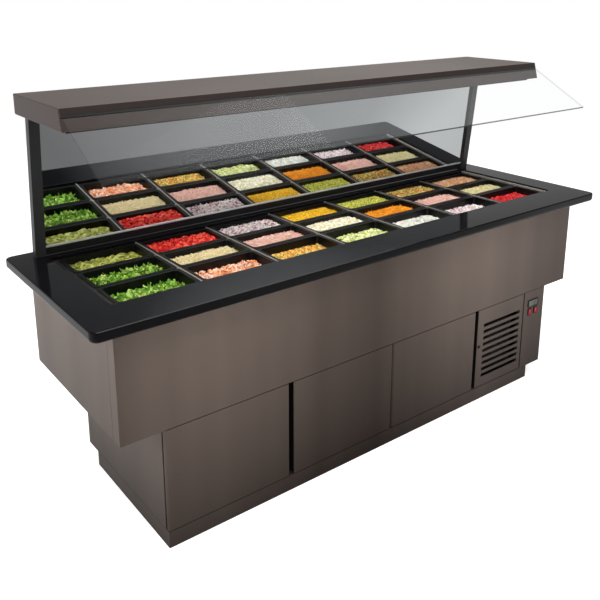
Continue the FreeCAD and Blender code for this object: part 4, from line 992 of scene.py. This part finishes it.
for number, (panName, (kindName, hexes)) in enumerate(sorted(servings.items())):
    rng = np.random.default_rng(heap["seed"] + number)
    kind = dict(kinds[kindName])
    kind["edge"] += rowLevel[panName.split("_")[1]] + lowered.get(panName, 0)
    low, high = nodeBox(panName)
    centre = np.array([(low[0] + high[0]) / 2, (low[1] + high[1]) / 2, high[2]])
    phase = rng.uniform(0, 6.28, 3)  # about a full turn
    hues = np.array([toLinear(hue) for hue in hexes.split()])
    reach = max(np.abs(points).max() for points, faces in kind["grains"])
    inset = reach * heap["sideShare"] + heap["sideGap"] - kind["edge"] * tan(radians(well["draft"]))
    longHalf, deepHalf = well["halfLong"] - inset, well["halfDeep"] - inset
    gap = kind["gap"]
    spots = []
    for layer in range(kind["layers"]):
        nx, ny = int(2 * longHalf / gap) + 1, int(2 * deepHalf / gap) + 1
        gx, gy = np.meshgrid(np.linspace(-longHalf, longHalf, nx), np.linspace(-deepHalf, deepHalf, ny))
        jitter = rng.uniform(-heap["jitterShare"], heap["jitterShare"], (2, gx.size)) * gap
        x = np.clip(gx.ravel() + jitter[0], -longHalf, longHalf)
        y = np.clip(gy.ravel() + jitter[1], -deepHalf, deepHalf)
        layerRise = (layer - heap["layerDrop"]) * heap["layerShare"] * min(reach, gap)
        lift = layerRise + rng.uniform(-1, 1, x.size)
        keep = rng.random(x.size) < heap["layerKeep"][layer]
        spots.append(np.stack([x, y, heapHeight(x, y, kind, phase) + lift], -1)[keep])
    spots = np.concatenate(spots)
    many = len(spots)
    tilts = rng.normal(0, kind["tilt"] / heap["tiltSpread"], (2, many)).clip(-kind["tilt"], kind["tilt"])
    turn = turns(tilts[0], tilts[1], rng.uniform(0, 2 * pi, many))
    sizes = rng.uniform(*heap["sizes"], many)
    tints = hues[rng.integers(0, len(hues), many)] * rng.uniform(*heap["shades"], (many, 1))
    tints[:, 3] = 1
    pick = rng.integers(0, len(kind["grains"]), many)
    points, faces, colours = scatter(kind["grains"], pick, spots, turn, sizes, tints)
    bed = heapBed(kind, phase)
    # Painted shade: the bed is tinted darker than the grains, for the shade between them
    bedTint = np.tile(hues.mean(0), (len(bed[0]), 1))
    bedTint[:, :3] *= heap["bedShade"]
    points, faces = joined([(points, faces), bed])
    colours = np.concatenate([colours, bedTint])
    serving = makeObject("food_" + panName, (points + centre) * mm, faces, finish[kind["skin"]], colours)
    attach(serving, panName)
print("food served in", len(servings), "pans")

# Studio: a white floor, soft light from above and the left, and bright panels about the room
# that only the glossy surfaces see; each stop is a direction from the rear and its brightness
studio = dict(
    fill=0.42, ceilingFrom=10, ceilingTo=25, ceilingShare=0.15, floorRadius=7.0, floorSides=96,
    floorDrop=0.5, floorGlow=0.72, fibre=40, paper=("EFEFEE", "F6F6F5"), paperMirrored="484848",
    paperRough=0.9, paperSpecular=0.1,
    stops=[
        (-180, 0.11), (-130, 0.08), (-90, 0.33), (-45, 0.55), (-10, 0.6), (5, 0.5), (20, 0.36), (37, 0.58),
        (48, 0.58), (58, 0.42), (80, 0.34), (112, 0.5), (119, 0.54), (128, 0.28), (142, 0.2), (152, 0.21),
        (162, 0.18), (180, 0.11),
    ],
    spotTurn=147, spotRise=20, spotWide=12, spotCore=4, spotGain=0.6,
)
softboxes = {  # the last is the glow of the lamp under the canopy
    "top": dict(place=(0.3, -0.9, 4.4), size=(5.0, 3.4), power=150.0, aim=(0, 0, 0.9), mirrored=True),
    "left": dict(place=(-4.6, 0.4, 2.6), size=(2.8, 2.4), power=76.0, aim=(-1.2, 0.0, 0.5), mirrored=False),
    "lamp": dict(
        place=(0, -0.025, 1.446), size=(0.028, 2.25), power=5.5, aim=(0, -0.025, 0.9), mirrored=False
    ),
}
scene.world = bpy.data.worlds.new("whiteStudio")
scene.world.use_nodes = True
paperTree, paperShader, paperPlace = startFinish("seamlessPaper")
rooms = {"Generated": scene.world.node_tree, "Object": paperTree}  # a ray's direction, a place on the floor
panels, seen, glossy, height = {}, {}, {}, {}
for coordinate, tree in rooms.items():
    parts = addNode(tree, "SeparateXYZ", {0: addNode(tree, "TexCoord", {})[coordinate]})
    height[coordinate] = parts["Z"]
    turn = addNode(tree, "Math", {0: parts["X"], 1: parts["Y"]}, operation="ARCTAN2")[0]
    share = addNode(tree, "MapRange", {0: turn, 1: -pi, 2: pi})[0]
    ramp = addNode(tree, "ValToRGB", {0: share})[0]
    stops = ramp.node.color_ramp.elements
    while len(stops) < len(studio["stops"]):
        stops.new(0.5)
    for stop, (angle, level) in zip(stops, studio["stops"]):
        stop.position = (angle + 180) / 360
        stop.color = (level, level, level, 1)
    panels[coordinate] = ramp
    path = addNode(tree, "LightPath", {})
    eyes = {0: path["Is Camera Ray"], 1: path["Is Transmission Ray"]}
    seen[coordinate] = addNode(tree, "Math", eyes, operation="MAXIMUM")[0]
    glossy[coordinate] = path["Is Glossy Ray"]

tree = scene.world.node_tree
limits = [sin(radians(studio[end])) for end in ("ceilingFrom", "ceilingTo")]
climb = {0: height["Generated"], 1: limits[0], 2: limits[1], 3: 1.0, 4: studio["ceilingShare"]}
ceiling = addNode(tree, "MapRange", climb)[0]
room = addNode(tree, "Math", {0: panels["Generated"], 1: ceiling}, operation="MULTIPLY")[0]
spotTurn, spotRise = radians(studio["spotTurn"]), radians(studio["spotRise"])
toSpot = (cos(spotRise) * sin(spotTurn), cos(spotRise) * cos(spotTurn), sin(spotRise))
ray = addNode(tree, "TexCoord", {})["Generated"]
closeness = addNode(tree, "VectorMath", {0: ray, 1: toSpot}, operation="DOT_PRODUCT")["Value"]
edges = {1: cos(radians(studio["spotWide"])), 2: cos(radians(studio["spotCore"])), 4: studio["spotGain"]}
spot = addNode(tree, "MapRange", {0: closeness, **edges})[0]
gloss = addNode(tree, "Math", {0: room, 1: spot}, operation="ADD")[0]
lit = addNode(tree, "Mix", {0: glossy["Generated"], 2: studio["fill"], 3: gloss}, data_type="FLOAT")[0]
strength = addNode(tree, "Mix", {0: seen["Generated"], 2: lit, 3: 1.0}, data_type="FLOAT")[0]
plug(tree, tree.nodes["Background"], {"Color": (1, 1, 1, 1), "Strength": strength})

# Seamless paper floor: white to the eye, still takes the soft shadow, and shows the panels to glossy surfaces
tree, shader = paperTree, paperShader
fibre = addNode(tree, "TexNoise", {"Vector": paperPlace, "Scale": 1 / (studio["fibre"] * mm)})[0]
first, second = map(toLinear, studio["paper"])
hue = addNode(tree, "Mix", {0: fibre, 6: first, 7: second}, data_type="RGBA")[2]
dimmed = {0: glossy["Object"], 6: hue, 7: toLinear(studio["paperMirrored"])}
dim = addNode(tree, "Mix", dimmed, data_type="RGBA")[2]
mirrored = addNode(tree, "Math", {0: glossy["Object"], 1: panels["Object"]}, operation="MULTIPLY")[0]
glow = addNode(tree, "Mix", {0: seen["Object"], 2: mirrored, 3: studio["floorGlow"]}, data_type="FLOAT")[0]
plug(tree, shader, {"Base Color": dim, "Roughness": studio["paperRough"]})
plug(tree, shader, {"Specular IOR Level": studio["paperSpecular"]})
plug(tree, shader, {"Emission Color": (1, 1, 1, 1), "Emission Strength": glow})
sides = studio["floorSides"]
step = np.arange(sides)
lon = step / sides * 2 * pi
middle = np.array([0, 0, -studio["floorDrop"] * mm])
disc = np.stack([np.cos(lon), np.sin(lon), 0 * lon], -1) * studio["floorRadius"] + middle
paper = np.stack([step, np.roll(step, -1), np.full(sides, sides), np.full(sides, -1)], -1)
floor = makeObject("studioFloor", np.concatenate([disc, [middle]]), paper, finish["seamlessPaper"])


# A softbox that shines at a point, is not itself seen by the camera, and shows in glossy surfaces or not
def softbox(name, place, size, power, aim, mirrored):
    data = bpy.data.lights.new(name, "AREA")
    data.shape = "RECTANGLE"
    data.size, data.size_y = size
    data.energy = power
    obj = bpy.data.objects.new(name, data)
    scene.collection.objects.link(obj)
    obj.location = place
    away = np.array(aim, float) - np.array(place, float)
    flatLength = float(np.hypot(away[0], away[1]))
    tilt = float(np.arctan2(flatLength, -away[2]))
    swing = float(np.arctan2(away[1], away[0])) - pi / 2
    obj.rotation_euler = (tilt, 0, swing)
    obj.visible_camera = False
    obj.visible_glossy = mirrored


for name, values in softboxes.items():
    softbox(name + "Softbox", **values)

# Camera: place in metres, turn and dip in degrees, lens in mm
view = dict(place=(-2.067, -2.413, 1.906), yaw=37.476, pitch=14.68, lens=45.67, shift=-0.19)
camera = bpy.data.objects.new("photoCamera", bpy.data.cameras.new("photoCamera"))
scene.collection.objects.link(camera)
camera.location = view["place"]
camera.rotation_euler = (radians(90 - view["pitch"]), 0, -radians(view["yaw"]))
camera.data.lens = view["lens"]
camera.data.shift_y = view["shift"]
scene.camera = camera
scene.view_settings.view_transform = "Standard"
print("studio ready")
